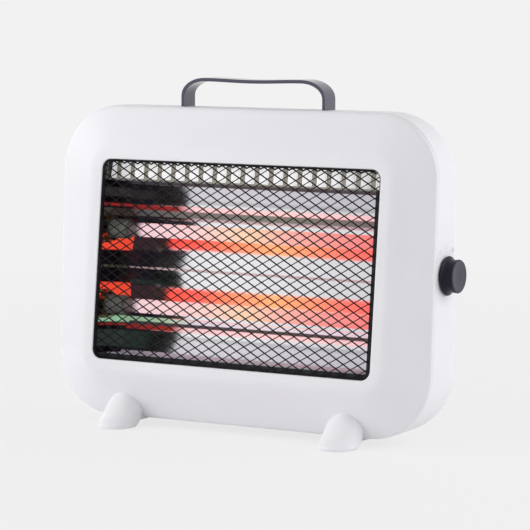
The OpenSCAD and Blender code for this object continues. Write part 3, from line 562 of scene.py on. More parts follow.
        # Left of x -87 to -79 the mirror is painted dark, as a painted dark reflection.
        painted_dark = recipe.fall(recipe.face_axis("X"), self.painted_dark_span)
        coat = self.folds(recipe, height)
        base = recipe.blend(folded, self.clear(recipe, away, painted_dark), coat)
        # Painted highlight on the lower edge, painted shade on the upper edge.
        rim = recipe.blend(recipe.rise(height, (-1, 1)), *self.edge_colours)
        base = recipe.blend(edge, base, rim)
        # Painted light: dim painted reflections at the left end and the folds' painted glow.
        lit = recipe.blend(painted_dark, marks.no_light, marks.end_painted_light(recipe))
        lit = recipe.blend(recipe.maths("MULTIPLY", glowing, self.fold_glow), lit, coat)
        # Past end the sheet takes the plates' painted reflections and painted glow.
        recipe.dress(
            Base_Color=recipe.blend(end, base, marks.coat(recipe)),
            Roughness=recipe.most(self.gloss(recipe), recipe.spread(dull, 0, self.dullest, 0, 1)),
            Metallic=recipe.fall(dull, (0, 1)),
            Emission_Color=recipe.blend(end, lit, marks.light(recipe)),
            Emission_Strength=marks.glow,
        )


@dataclass(frozen=True)
class SlottedSheet(MirrorSheet):
    """The slotted strip: dull bars in front of a baffle whose light from the tubes below is painted on as a glow."""

    bars: Colour = (0.4, 0.37, 0.31)
    bar_roughness: float = 0.5
    metals: Pair = (0.2, 0.3)
    behind: Pair = (-3.4, -2.8)
    forward: Pair = (-0.9, -0.5)
    baffle_painted_glow: Colour = (1.0, 0.99, 1.0)
    shines: Pair = (0.5, 0.275)
    dimmed: Pair = (55.0, 112.0)

    def dress(self, recipe: Recipe) -> None:
        """Dulls the bars and paints the baffle's light on as a glow.

        Args:
            recipe: The material in the making.
        """
        super().dress(recipe)
        front = recipe.fall(recipe.face_axis("Y"), self.behind)
        # The baffle's light, painted as a glow on its front, dimmer towards +X as painted shade.
        shine = recipe.spread(recipe.face_axis("X"), *self.shines, *self.dimmed)
        shine = recipe.maths("MULTIPLY", recipe.fall(recipe.facing(), self.forward), shine)
        recipe.dress(
            Base_Color=recipe.blend(front, self.tones(recipe), self.bars),
            Roughness=recipe.spread(front, self.roughness, self.bar_roughness, 0, 1),
            Metallic=recipe.spread(front, *self.metals, 0, 1),
            Emission_Color=(*self.baffle_painted_glow, 1.0),
            Emission_Strength=recipe.maths("MULTIPLY", shine, recipe.fall(front, (0, 1))),
        )


@dataclass(frozen=True)
class PlatePaintedLight(Finish):
    """Dark satin sheet with painted reflections and a painted red glow."""

    marks: PaintedGlowAndReflections = PaintedGlowAndReflections()
    patchy: Pair = (0.7, 1.25)

    def dress(self, recipe: Recipe) -> None:
        """Adds the painted reflections and the painted glow.

        Args:
            recipe: The material in the making.
        """
        super().dress(recipe)
        # Painted reflection bands on the plate's own dark colour, made patchy; the painted red glow is emission.
        inputs = {0: self.marks.coat(recipe), "Scale": recipe.spread(recipe.noise(self.patch, 3), *self.patchy)}
        shade = recipe.node("ShaderNodeVectorMath", inputs, operation="SCALE").outputs[0]
        light = self.marks.light(recipe)
        recipe.dress(Base_Color=shade, Emission_Color=light, Emission_Strength=self.marks.glow)


@dataclass(frozen=True)
class KnobPlastic(Finish):
    """Satin plastic with a paler end face."""

    end: Pair = (154.2, 154.7)
    end_colour: Colour = (0.061, 0.058, 0.078)

    def tones(self, recipe: Recipe) -> Socket:
        """The plastic's colour, paler on the end face."""
        return recipe.blend(recipe.rise(recipe.across(), self.end), super().tones(recipe), self.end_colour)


@dataclass(frozen=True)
class GalvanisedSheet(Finish):
    """Zinc-coated sheet with its pattern of crystals."""

    crystal: float = 5.0
    darkest: float = -0.22
    lightest: float = 0.12

    def tones(self, recipe: Recipe) -> Socket:
        """Lighter and darker crystals.

        Args:
            recipe: The material in the making.

        Returns:
            The colour.
        """
        scale = 1 / (self.crystal * MM)
        cells = recipe.node("ShaderNodeTexVoronoi", {"Vector": recipe.position(), "Scale": scale})
        value = recipe.axis(cells.outputs["Color"], "X")
        return recipe.ramp(value, [(0, self.shade(self.darkest)), (1, self.shade(self.lightest))])


@dataclass(frozen=True)
class BraidedSleeve(Finish):
    """Woven sleeve of a lead."""

    thread: float = 0.5
    threads: int = 6
    waver: float = 0.4
    weave_depth: float = 0.12
    weave_strength: float = 0.5

    def dress(self, recipe: Recipe) -> None:
        """Crosses two sets of threads.

        Args:
            recipe: The material in the making.
        """
        super().dress(recipe)
        scale = 1 / (self.thread * MM * self.threads)
        inputs = {"Vector": recipe.position(), "Scale": scale, "Distortion": self.waver}
        first, second = (
            recipe.node("ShaderNodeTexWave", inputs, bands_direction=way).outputs["Fac"] for way in ("DIAGONAL", "Z")
        )
        crossed = recipe.maths("MULTIPLY", first, second)
        recipe.dress(Normal=recipe.relief(crossed, self.weave_depth, self.weave_strength))


@dataclass(frozen=True)
class GlowingQuartz(Finish):
    """Milky quartz tube that glows with its coil's light, pale where it faces the room and red where it faces the
    reflector; the paler side is painted light.
    """

    ends: Pair = (-105.0, 115.0)
    coil: Pair = (-88.5, 100.5)
    cold: float = 3.0
    glows: Pair = (0.86, 1.5)
    turned_away: Pair = (-0.3, 0.3)
    refraction: float = 1.46
    pale: Stops = ((0, (0.9, 0.64, 0.72)), (1, (1.0, 0.11, 0.1)), (0.28, (1.0, 0.64, 0.64)),
                   (0.48, (1.0, 0.66, 0.42)), (0.62, (1.0, 0.45, 0.38)), (0.8, (1.0, 0.26, 0.24)))
    ember: Stops = ((0, (0.7, 0.03, 0.02)), (1, (0.9, 0.06, 0.045)), (0.2, (0.85, 0.07, 0.04)),
                    (0.48, (1.0, 0.34, 0.12)), (0.75, (0.95, 0.13, 0.09)))

    def dress(self, recipe: Recipe) -> None:
        """Lays the paler glow, painted light from the room, over the red glow.

        Args:
            recipe: The material in the making.
        """
        super().dress(recipe)
        along = recipe.rise(recipe.across(), self.ends)
        back = recipe.rise(recipe.facing(), self.turned_away)
        hot = recipe.band(recipe.across(), self.coil, self.cold)
        recipe.dress(
            # Paler emission facing the room is painted light; the red emission facing the reflector stands for the
            # coil's glow.
            Emission_Color=recipe.blend(back, recipe.ramp(along, self.pale), recipe.ramp(along, self.ember)),
            Emission_Strength=recipe.maths("MULTIPLY", recipe.spread(back, *self.glows, 0, 1), hot),
            IOR=self.refraction,
        )


@dataclass(frozen=True)
class GlowingWire(Finish):
    """Resistance wire at red heat, darker towards its cold ends."""

    middle: float = 1.0
    cooling: Pair = (88.0, 96.0)
    heat: float = 3.0
    glow: Colour = (1.0, 0.25, 0.08)

    def dress(self, recipe: Recipe) -> None:
        """Adds the glow.

        Args:
            recipe: The material in the making.
        """
        super().dress(recipe)
        reach = recipe.maths("ABSOLUTE", recipe.maths("SUBTRACT", recipe.across(), self.middle))
        strength = recipe.spread(reach, self.heat, 0.0, *self.cooling)
        recipe.dress(Emission_Color=(*self.glow, 1.0), Emission_Strength=strength)


WHITE = {"tone": 0.008, "specular": 0.35, "grain": 0.9, "depth": 0.02, "strength": 0.06}
ROLLED = {"tone": 0.02, "gloss_change": 0.02, "metallic": 1.0, "grain": 0.6, "depth": 0.01, "strength": 0.04,
          "stretch": (60, 1, 1)}
SHELL = Finish("moulded_white", (0.84, 0.832, 0.872), roughness=0.36, **WHITE)
# The shell's white, painted lighter on the feet to stand in for light from low down.
TOE_SHELL = Finish("moulded_white_toe", (0.895, 0.888, 0.92), roughness=0.4, **WHITE)
ENAMEL = Finish("black_enamel", (0.006, 0.006, 0.008), tone=0.2, roughness=0.6, specular=0.12, grain=0.7,
                strength=0.2, wear=(0.04, 0.04, 0.042))
MIRROR = FoldedMirror("polished_sheet", (0.92, 0.915, 0.94), roughness=0.11, **ROLLED)
SLOTTED = SlottedSheet("slotted_sheet", (0.93, 0.93, 0.94), roughness=0.22, **ROLLED)
# Dark plate with painted reflections and a painted red glow.
PAINTED_PLATE = PlatePaintedLight("plate_painted_light", (0.012, 0.012, 0.015), tone=0.25, roughness=0.2, specular=0.15, grain=1.4,
                     strength=0.05)
ZINC = GalvanisedSheet("galvanised_sheet", (0.58, 0.59, 0.61), roughness=0.38, metallic=0.9)
QUARTZ = GlowingQuartz("glowing_quartz", (0.2, 0.15, 0.15), roughness=0.35, gloss_change=0.05, specular=0.25)
WIRE = GlowingWire("glowing_wire", (0.32, 0.2, 0.16), roughness=0.6, metallic=0.6)
CERAMIC = Finish("ceramic_cap", (0.16, 0.17, 0.145), tone=0.25, patch=5, roughness=0.62, grain=0.25, depth=0.06,
                 strength=0.4)
SPRING = Finish("spring_brass", (0.3, 0.24, 0.15), tone=0.15, patch=6, roughness=0.3, metallic=1.0, grain=0.2,
                stretch=(1, 1, 12))
STRAP = Finish("grained_strap", (0.036, 0.033, 0.068), tone=0.1, patch=3, roughness=0.24, grain=0.45, depth=0.05,
               strength=0.12, coat=0.7)
KNOB = KnobPlastic("satin_knob", (0.006, 0.0062, 0.0165), tone=0.15, patch=5, roughness=0.42, specular=0.2,
                   grain=0.3, depth=0.04, strength=0.25)
STEEL = Finish("plated_steel", (0.56, 0.57, 0.6), tone=0.1, patch=3, roughness=0.3, metallic=1.0, grain=0.2)
MOULDING = Finish("dark_moulding", (0.045, 0.045, 0.047), tone=0.15, patch=6, roughness=0.52, grain=0.4,
                  depth=0.05, strength=0.3)
BRASS = Finish("plain_brass", (0.6, 0.44, 0.19), tone=0.2, patch=3, roughness=0.33, metallic=1.0, grain=0.3)
GLAZE = Finish("glazed_block", (0.72, 0.69, 0.62), tone=0.06, patch=8, roughness=0.22, coat=0.5, grain=2.0)
RUBBER = Finish("matt_rubber", (0.035, 0.035, 0.036), tone=0.2, patch=4, roughness=0.78, grain=0.25, depth=0.06,
                strength=0.5)
SLEEVE_DARK = BraidedSleeve("dark_sleeve", (0.04, 0.04, 0.045), roughness=0.6)
SLEEVE_PALE = BraidedSleeve("pale_sleeve", (0.66, 0.65, 0.6), roughness=0.6)
PRINT = Finish("pale_print", (0.72, 0.725, 0.75), tone=0.05, roughness=0.5, grain=0.2)


# ---------- meshes ----------


def turns(count: int) -> list[float]:
    """Evenly spaced angles of one full turn, in radians."""
    return [2 * math.pi * k / count for k in range(count)]


def rounded(width: float, height: float, radius: float, lift: float = 0.0, steps: int = 14) -> list[Pair]:
    """Outline of a rounded rectangle, anticlockwise.

    Args:
        width: Its width.
        height: Its height.
        radius: Its corner radius.
        lift: How far its middle is raised.
        steps: Steps in each corner.

    Returns:
        Its points.
    """
    points = []
    for quarter in range(4):
        side_x = 1 if quarter in (0, 3) else -1
        side_z = 1 if quarter in (0, 1) else -1
        for step in range(steps + 1):
            turn = math.radians(90 * (quarter + step / steps))
            x = side_x * (width / 2 - radius) + radius * math.cos(turn)
            z = side_z * (height / 2 - radius) + radius * math.sin(turn)
            points.append((x, z + lift))
    return points


def quarter_turn(steps: int) -> list[Pair]:
    """The sine and cosine at each step of a quarter turn."""
    return [(math.sin(math.pi / 2 * k / steps), math.cos(math.pi / 2 * k / steps)) for k in range(steps + 1)]


def towards(point: Vector, other: Vector, distance: float) -> Vector:
    """The point moved to another by a distance, or by less than half the way."""
    way = other - point
    return point + way.normalized() * min(distance, way.length * NEARLY_HALF)


def soften(rings: Sequence[Ring], radii: Sequence[float], closed: bool, steps: int = 5) -> list[Ring]:
    """Rounds the creases of a skin.

    Args:
        rings: The skin's rings, in metres.
        radii: For each ring, how far its rounding reaches to both sides, in millimetres.
        closed: Whether the last ring meets the first.
        steps: Steps in each rounding.

    Returns:
        The rings of the rounded skin.
    """
    made = []
    for index, ring in enumerate(rings):
        at_end = not closed and index in (0, len(rings) - 1)
        if at_end or not radii[index]:
            made.append(ring)
            continue
        reach = radii[index] * MM
        starts = [towards(p, q, reach) for p, q in zip(ring, rings[index - 1])]
        ends = [towards(p, q, reach) for p, q in zip(ring, rings[(index + 1) % len(rings)])]
        for step in range(steps + 1):
            t = step / steps
            made.append([s * (1 - t) ** 2 + p * 2 * t * (1 - t) + e * t * t for s, p, e in zip(starts, ring, ends)])
    return made


def bend(points: Sequence[Pair], radii: Sequence[float], steps: int) -> list[Pair]:
    """Rounds the inner corners of an open line.

    Args:
        points: The line's points.
        radii: For each point, how far its rounding reaches.
        steps: Steps in each rounding.

    Returns:
        The rounded line.
    """
    rings = [[Vector((x, 0, z))] for x, z in points]
    spread = soften(rings, [r / MM for r in radii], closed=False, steps=steps)
    return [(ring[0].x, ring[0].z) for ring in spread]


def link(name: str, data: bpy.types.ID) -> Piece:
    """Puts data into the scene as an object.

    Args:
        name: The object's name.
        data: A mesh, a lamp or a camera.

    Returns:
        The object.
    """
    made = bpy.data.objects.new(name, data)
    bpy.context.scene.collection.objects.link(made)
    return made


class Blank:
    """A mesh in the making."""

    def __init__(self, stand: Stand = Stand.REAR) -> None:
        """Starts an empty mesh.

        Args:
            stand: The frame that its sizes are in.
        """
        self.mesh = bmesh.new()
        self.place = stand.place

    def at(self, x: float, y: float, z: float) -> Vector:
        """A point of the frame, in metres."""
        return self.place @ Vector((x, y, z))

    def outline(self, points: Iterable[Pair], depth: float | Callable[[float], float]) -> Ring:
        """An outline in X and Z as a ring.

        Args:
            points: The outline's points.
            depth: Its Y, or Y as a function of Z.

        Returns:
            The ring.
        """
        along = depth if callable(depth) else lambda z: depth
        return [self.at(x, along(z), z) for x, z in points]

    def skin(self, rings: Sequence[Ring], looped: bool = False) -> None:
        """Stretches faces over rings with as many points each, and fills both ends.

        Args:
            rings: The rings.
            looped: Whether the last ring meets the first, so that there are no ends.
        """
        rows = [[self.mesh.verts.new(p) for p in ring] for ring in rings]
        count = len(rows[0])
        pairs = list(zip(rows, rows[1:]))
        if looped:
            pairs.append((rows[-1], rows[0]))
        for first, second in pairs:
            for k in range(count):
                after = (k + 1) % count
                self.mesh.faces.new((first[k], first[after], second[after], second[k]))
        if not looped:
            self.mesh.faces.new(rows[0])
            self.mesh.faces.new(rows[-1])

    def hoop(self, outer: list[Pair], inner: list[Pair], start: float, end: float) -> None:
        """Adds a flat ring between two outlines, drawn out along Y."""
        walls = ((outer, start), (outer, end), (inner, end), (inner, start))
        self.skin([self.outline(points, y) for points, y in walls], looped=True)

    def prism(self, points: Sequence[Pair], start: float, end: float) -> None:
        """Adds an outline in X and Z, drawn out along Y."""
        self.skin([self.outline(points, start), self.outline(points, end)])

    def block(self, low: Sequence[float], high: Sequence[float], edge: float = 0.0) -> None:
        """Adds a box.

        Args:
            low: Its lowest corner.
            high: Its highest corner.
            edge: The width of its broken edges.
        """
        centre = [(a + b) / 2 for a, b in zip(low, high)]
        size = [b - a for a, b in zip(low, high)]
        matrix = self.place @ Matrix.Translation(centre) @ Matrix.Diagonal((*size, 1))
        made = bmesh.ops.create_cube(self.mesh, size=1.0, matrix=matrix)
        if edge:
            edges = list({e for v in made["verts"] for e in v.link_edges})
            bmesh.ops.bevel(self.mesh, geom=edges, offset=edge * MM, segments=2, affect="EDGES", profile=0.6)

    def rod(self, start: Sequence[float], end: Sequence[float], radius: float) -> None:
        """Adds a round bar between two points.

        Args:
            start: The middle of one end.
            end: The middle of the other end.
            radius: Its radius.
        """
        first, second = Vector(start), Vector(end)
        side = (second - first).to_track_quat("Z", "Y").to_matrix().to_4x4()
        line = self.place @ Matrix.Translation(first) @ side
        circle = [(radius * math.cos(a), radius * math.sin(a)) for a in turns(ROD_SIDES)]
        self.skin([[line @ Vector((x, y, z)) for x, y in circle] for z in (0.0, (second - first).length)])

    def turned(self, profile: Sequence[Pair], centre: Sequence[float], sides: int, looped: bool = False) -> None:
        """Adds a turned form whose axis lies along X.

        Args:
            profile: Places along X and their radii.
            centre: The axis's point at X = 0.
            sides: Steps round the axis.
            looped: Whether the profile closes on itself, so that the form has a bore.
        """
        x0, y0, z0 = centre
        rings = [
            [self.at(x0 + x, y0 + r * math.sin(a), z0 + r * math.cos(a)) for a in turns(sides)] for x, r in profile
        ]
        self.skin(rings, looped=looped)

    def swept(self, path: Sequence[Vector], section: Sequence[Pair], across: Vector | None = None) -> None:
        """Sweeps a section along a path.

        Args:
            path: The path's points, in the frame.
            section: The section's points.
            across: The direction of the section's first axis, where it stays the same.
        """
        rings = []
        side = across or Vector((0, 0, 1))
        for index, point in enumerate(path):
            before = path[max(index - 1, 0)]
            after = path[min(index + 1, len(path) - 1)]
            ahead = (after - before).normalized()
            if across is None:
                side = (side - ahead * side.dot(ahead)).normalized()
            other = ahead.cross(side)
            rings.append([self.place @ (point + side * u + other * v) for u, v in section])
        self.skin(rings)

    def piece(self, name: str, finish: Finish, sharp: float = 40.0) -> Piece:
        """Turns the mesh into an object.

        Args:
            name: The object's name.
            finish: Its finish.
            sharp: The angle above which an edge stays sharp, in degrees.

        Returns:
            The object.
        """
        bmesh.ops.recalc_face_normals(self.mesh, faces=self.mesh.faces)
        data = bpy.data.meshes.new(name)
        self.mesh.to_mesh(data)
        self.mesh.free()
        data.materials.append(finish.material)
        made = link(name, data)
        smooth(made, sharp)
        return made


def smooth(piece: Piece, sharp: float) -> None:
    """Shades a piece smooth, apart from edges above an angle in degrees."""
    piece.data.shade_smooth()
    piece.data.set_sharp_from_angle(angle=math.radians(sharp))


def settle(piece: Piece) -> None:
    """Makes a piece's modifiers part of its mesh.

    Args:
        piece: The piece.
    """
    ready = piece.evaluated_get(bpy.context.evaluated_depsgraph_get())
    mesh = bpy.data.meshes.new_from_object(ready)
    piece.modifiers.clear()
    piece.data = mesh


def modify(piece: Piece, kind: str, **settings: object) -> None:
    """Adds a modifier.

    Args:
        piece: The piece.
        kind: The modifier's type.
        **settings: The modifier's own properties.
    """
    step = piece.modifiers.new(kind.lower(), kind)
    for key, value in settings.items():
        setattr(step, key, value)


def carve(piece: Piece, tool: Piece, operation: str = "DIFFERENCE", keep: bool = False) -> None:
    """Cuts a tool out of a piece, or joins or crosses them.

    Args:
        piece: The piece, whose mesh changes.
        tool: The tool.
        operation: The operation's name.
        keep: Whether the tool stays for another cut.
    """
    modify(piece, "BOOLEAN", operation=operation, object=tool, solver="EXACT")
    settle(piece)
    if not keep:
        bpy.data.objects.remove(tool)


def even_normals(piece: Piece) -> None:
    """Lets a piece's large faces set the shading of the small ones beside them."""
    modify(piece, "WEIGHTED_NORMAL", keep_sharp=True, weight=80)
    settle(piece)


def fit(piece: Piece, slot: str, *nodes: str, body: Body = Body.HEATER) -> None:
    """Puts a piece on its body in place of construction nodes.

    Args:
        piece: The piece.
        slot: The name of a material slot; not used.
        *nodes: The nodes that it stands for.
        body: The body that it rides on.
    """
    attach(piece, body.value)
    if nodes:
        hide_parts(*nodes)
    LOG.info("%s: %d faces, on %s", piece.name, len(piece.data.polygons), body.value)


def finish_nodes(finish: Finish, *nodes: str) -> None:
    """Gives construction nodes that stay visible their finish.

    Args:
        finish: The finish.
        *nodes: The nodes.
    """
    for node in nodes:
        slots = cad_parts[node].data.materials
        slots.clear()
        slots.append(finish.material)
        LOG.info("%s: as constructed, in %s", node, finish.name)


# ---------- case ----------


@dataclass
class Case:
    """The white front and rear shells.

    A pad, a hole or a slot is given by its middle or its start and end, then by its half sizes or its radius.
    """

    width: float = 300.0
    height: float = 222.0
    corner: float = 45.0
    wall: float = 2.4
    face: float = -12.2
    lift: float = 0.9
    band: Triple = (241.0, 161.0, 16.0)
    window: Triple = (223.0, 143.0, 7.0)
    lip_wall: float = 2.0
    lip_back: float = -9.2
    parting: float = 3.0
    seam: float = 0.12
    depth: float = 55.0
    back_round: float = 28.0
    creases: tuple[float, ...] = (0.25, 3.4, 3.2, 1.1, 0.4, 0.4, 0, 1, 2, 0)
    boss: Pair = (124.0, 80.0)
    boss_rod: Triple = (3.4, 62.0, 5.6)
    well: Triple = (14.0, 70.0, 3.9)
    post: Pair = (107.0, 50.25)
    post_middle: float = -4.35
    post_rod: Triple = (32.7, 66.0, 4.5)
    handle_y: float = 23.8
    handle_pad: Triple = (47.5, 8.0, 7.8)
    pad_rise: Pair = (102.6, 115.0)
    handle_slot: Triple = (56.75, 1.55, 8.1)
    slot_rise: Pair = (99.0, 120.0)
    foot_x: float = 89.0
    foot_rows: Pair = (12.0, 24.0)
    foot_rod: Triple = (-115.0, -102.6, 4.2)
    knob_axis: Pair = (19.1, 1.3)
    knob_rod: Triple = (146.1, 152.0, 9.0)
    knob_hole: Triple = (144.0, 153.0, 5.0)
    gland: Pair = (98.0, -72.0)
    gland_radius: float = 5.6
    vents: int = 7
    vent: Triple = (84.0, 4.0, 1.99)
    vent_top: Pair = (50.0, 76.0)
    vent_pitch: float = 9.0

    def outer_front(self) -> list[Ring]:
        """The front shell's outside, from the parting plane to the band.

        Returns:
            Its rings.
        """
        case, face = Stand.CASE.place, Stand.FACE.place
        edge = rounded(self.width, self.height, self.corner)
        return [
            [case @ Vector((x, self.parting - self.seam / 2, z)) for x, z in edge],
            [case @ Vector((x, 0, z)) for x, z in edge],
            [face @ Vector((x, self.face, z)) for x, z in rounded(*self.band, self.lift)],
        ]

    def front_shell(self) -> Piece:
        """The front shell with its window.

        Returns:
            The piece.
        """
        blank = Blank(Stand.FACE)
        case = Stand.CASE.place
        window = rounded(*self.window, self.lift)
        wide, high, radius = self.window
        lip = rounded(wide + 2 * self.lip_wall, high + 2 * self.lip_wall, radius + self.lip_wall, self.lift)
        inner_face = self.face + self.wall
        band_w, band_h, band_r = self.band
        inner_band = rounded(band_w - self.wall, band_h - self.wall, band_r - self.wall / 2, self.lift)
        inner_edge = rounded(self.width - 2 * self.wall, self.height - 2 * self.wall, self.corner - self.wall)
        rings = self.outer_front() + [
            blank.outline(window, self.face),
            blank.outline(window, self.lip_back),
            blank.outline(lip, self.lip_back),
            blank.outline(lip, inner_face),
            blank.outline(inner_band, inner_face),
            [case @ Vector((x, 0, z)) for x, z in inner_edge],
            [case @ Vector((x, self.parting - self.seam / 2, z)) for x, z in inner_edge],
        ]
        blank.skin(soften(rings, self.creases, closed=True, steps=6), looped=True)
        shell = blank.piece("front_shell_skin", SHELL)
        even_normals(shell)
        return shell

    def rear_rings(self, blank: Blank, inset: float) -> list[Ring]:
        """The rear shell's form, from the parting plane to the back.

        Args:
            blank: The mesh in the making.
            inset: How far inside the outer surface it lies.

        Returns:
            Its rings.
        """
        start = self.parting + self.seam / 2

        def parting(z: float) -> float:
            """The parting plane's depth at a height."""
            return (start + z * math.sin(LEAN)) / math.cos(LEAN)

        def outline(extra: float) -> list[Pair]:
            """The outline, drawn in by the inset and more."""
            all_in = inset + extra
            return rounded(self.width - 2 * all_in, self.height - 2 * all_in, self.corner - all_in)

        radius = self.back_round - inset
        rings = [blank.outline(outline(0), parting)]
        for sine, cosine in quarter_turn(12):
            depth = self.depth - self.back_round + radius * sine
            rings.append(blank.outline(outline(radius * (1 - cosine)), depth))
        return rings

    def bosses(self) -> Piece:
        """The bosses and pads inside the rear shell.

        Returns:
            A tool to join them with.
        """
        blank = Blank()
        for sx, sz in CORNERS:
            start, end, radius = self.boss_rod
            x, z = sx * self.boss[0], sz * self.boss[1]
            blank.place = Stand.CASE.place
            blank.rod((x, start, z), (x, end, z), radius)
            start, end, radius = self.post_rod
            x, z = sx * self.post[0], self.post_middle + sz * self.post[1]
            blank.place = Stand.FACE.place
            blank.rod((x, start, z), (x, end, z), radius)
        blank.place = Stand.REAR.place
        for side in Side:
            middle, half_x, half_y = self.handle_pad
            x, (low, high) = side.value * middle, self.pad_rise
            blank.block((x - half_x, self.handle_y - half_y, low), (x + half_x, self.handle_y + half_y, high))
            low, high, radius = self.foot_rod
            for y in self.foot_rows:
                blank.rod((side.value * self.foot_x, y, low), (side.value * self.foot_x, y, high), radius)
        self.knob_bar(blank, self.knob_rod)
        tool = blank.piece("bosses", SHELL)
        form = Blank()
        form.skin(self.rear_rings(form, self.wall / 2))
        carve(tool, form.piece("boss_limit", SHELL), "INTERSECT")
        return tool

    def knob_bar(self, blank: Blank, rod: Triple) -> None:
        """Adds a round bar on the knob's axis."""
        (y, z), (start, end, radius) = self.knob_axis, rod
        blank.rod((start, y, z), (end, y, z), radius)

    def openings(self) -> Piece:
        """What is cut out of the rear shell.

        Returns:
            A tool to cut with.
        """
        blank = Blank()
        middle, half_x, half_y = self.handle_slot
        low, high = self.slot_rise
        offset, top = self.vent_top
        for side in Side:
            for row in range(self.vents):
                vent = rounded(*self.vent, top - self.vent_pitch * row, 5)
                points = [(x + side.value * offset, z) for x, z in vent]
                blank.prism(points, self.depth - self.wall - 1, self.depth + 1)
            x = side.value * middle
            blank.block((x - half_x, self.handle_y - half_y, low), (x + half_x, self.handle_y + half_y, high))
        self.knob_bar(blank, self.knob_hole)
        x, z = self.gland
        blank.rod((x, self.depth - 5, z), (x, self.depth + 2, z), self.gland_radius)
        blank.place = Stand.CASE.place
        start, end, radius = self.well
        for sx, sz in CORNERS:
            x, z = sx * self.boss[0], sz * self.boss[1]
            blank.rod((x, start, z), (x, end, z), radius)
        return blank.piece("openings", SHELL)

    def rear_shell(self) -> Piece:
        """The rear shell with its vents, wells and slots.

        Returns:
            The piece.
        """
        blank = Blank()
        blank.skin(self.rear_rings(blank, self.wall)[::-1] + self.rear_rings(blank, 0))
        shell = blank.piece("rear_shell_skin", SHELL)
        carve(shell, self.bosses(), "UNION")
        carve(shell, self.openings())
        smooth(shell, 40)
        even_normals(shell)
        return shell

    def solid(self) -> Piece:
        """The whole case as one solid.

        Returns:
            A tool to cut the feet with.
        """
        blank = Blank()
        front = soften(self.outer_front()[::-1], (0, self.creases[1], 0), closed=False)
        blank.skin(front[:-1] + self.rear_rings(blank, 0))
        return blank.piece("case_solid", SHELL)

    def make(self) -> None:
        """Makes the shells and puts them in place."""
        fit(self.front_shell(), "shell", "front_shell")
        fit(self.rear_shell(), "shell", "rear_shell")
        finish_nodes(STEEL, "case_screws")


# ---------- guard ----------


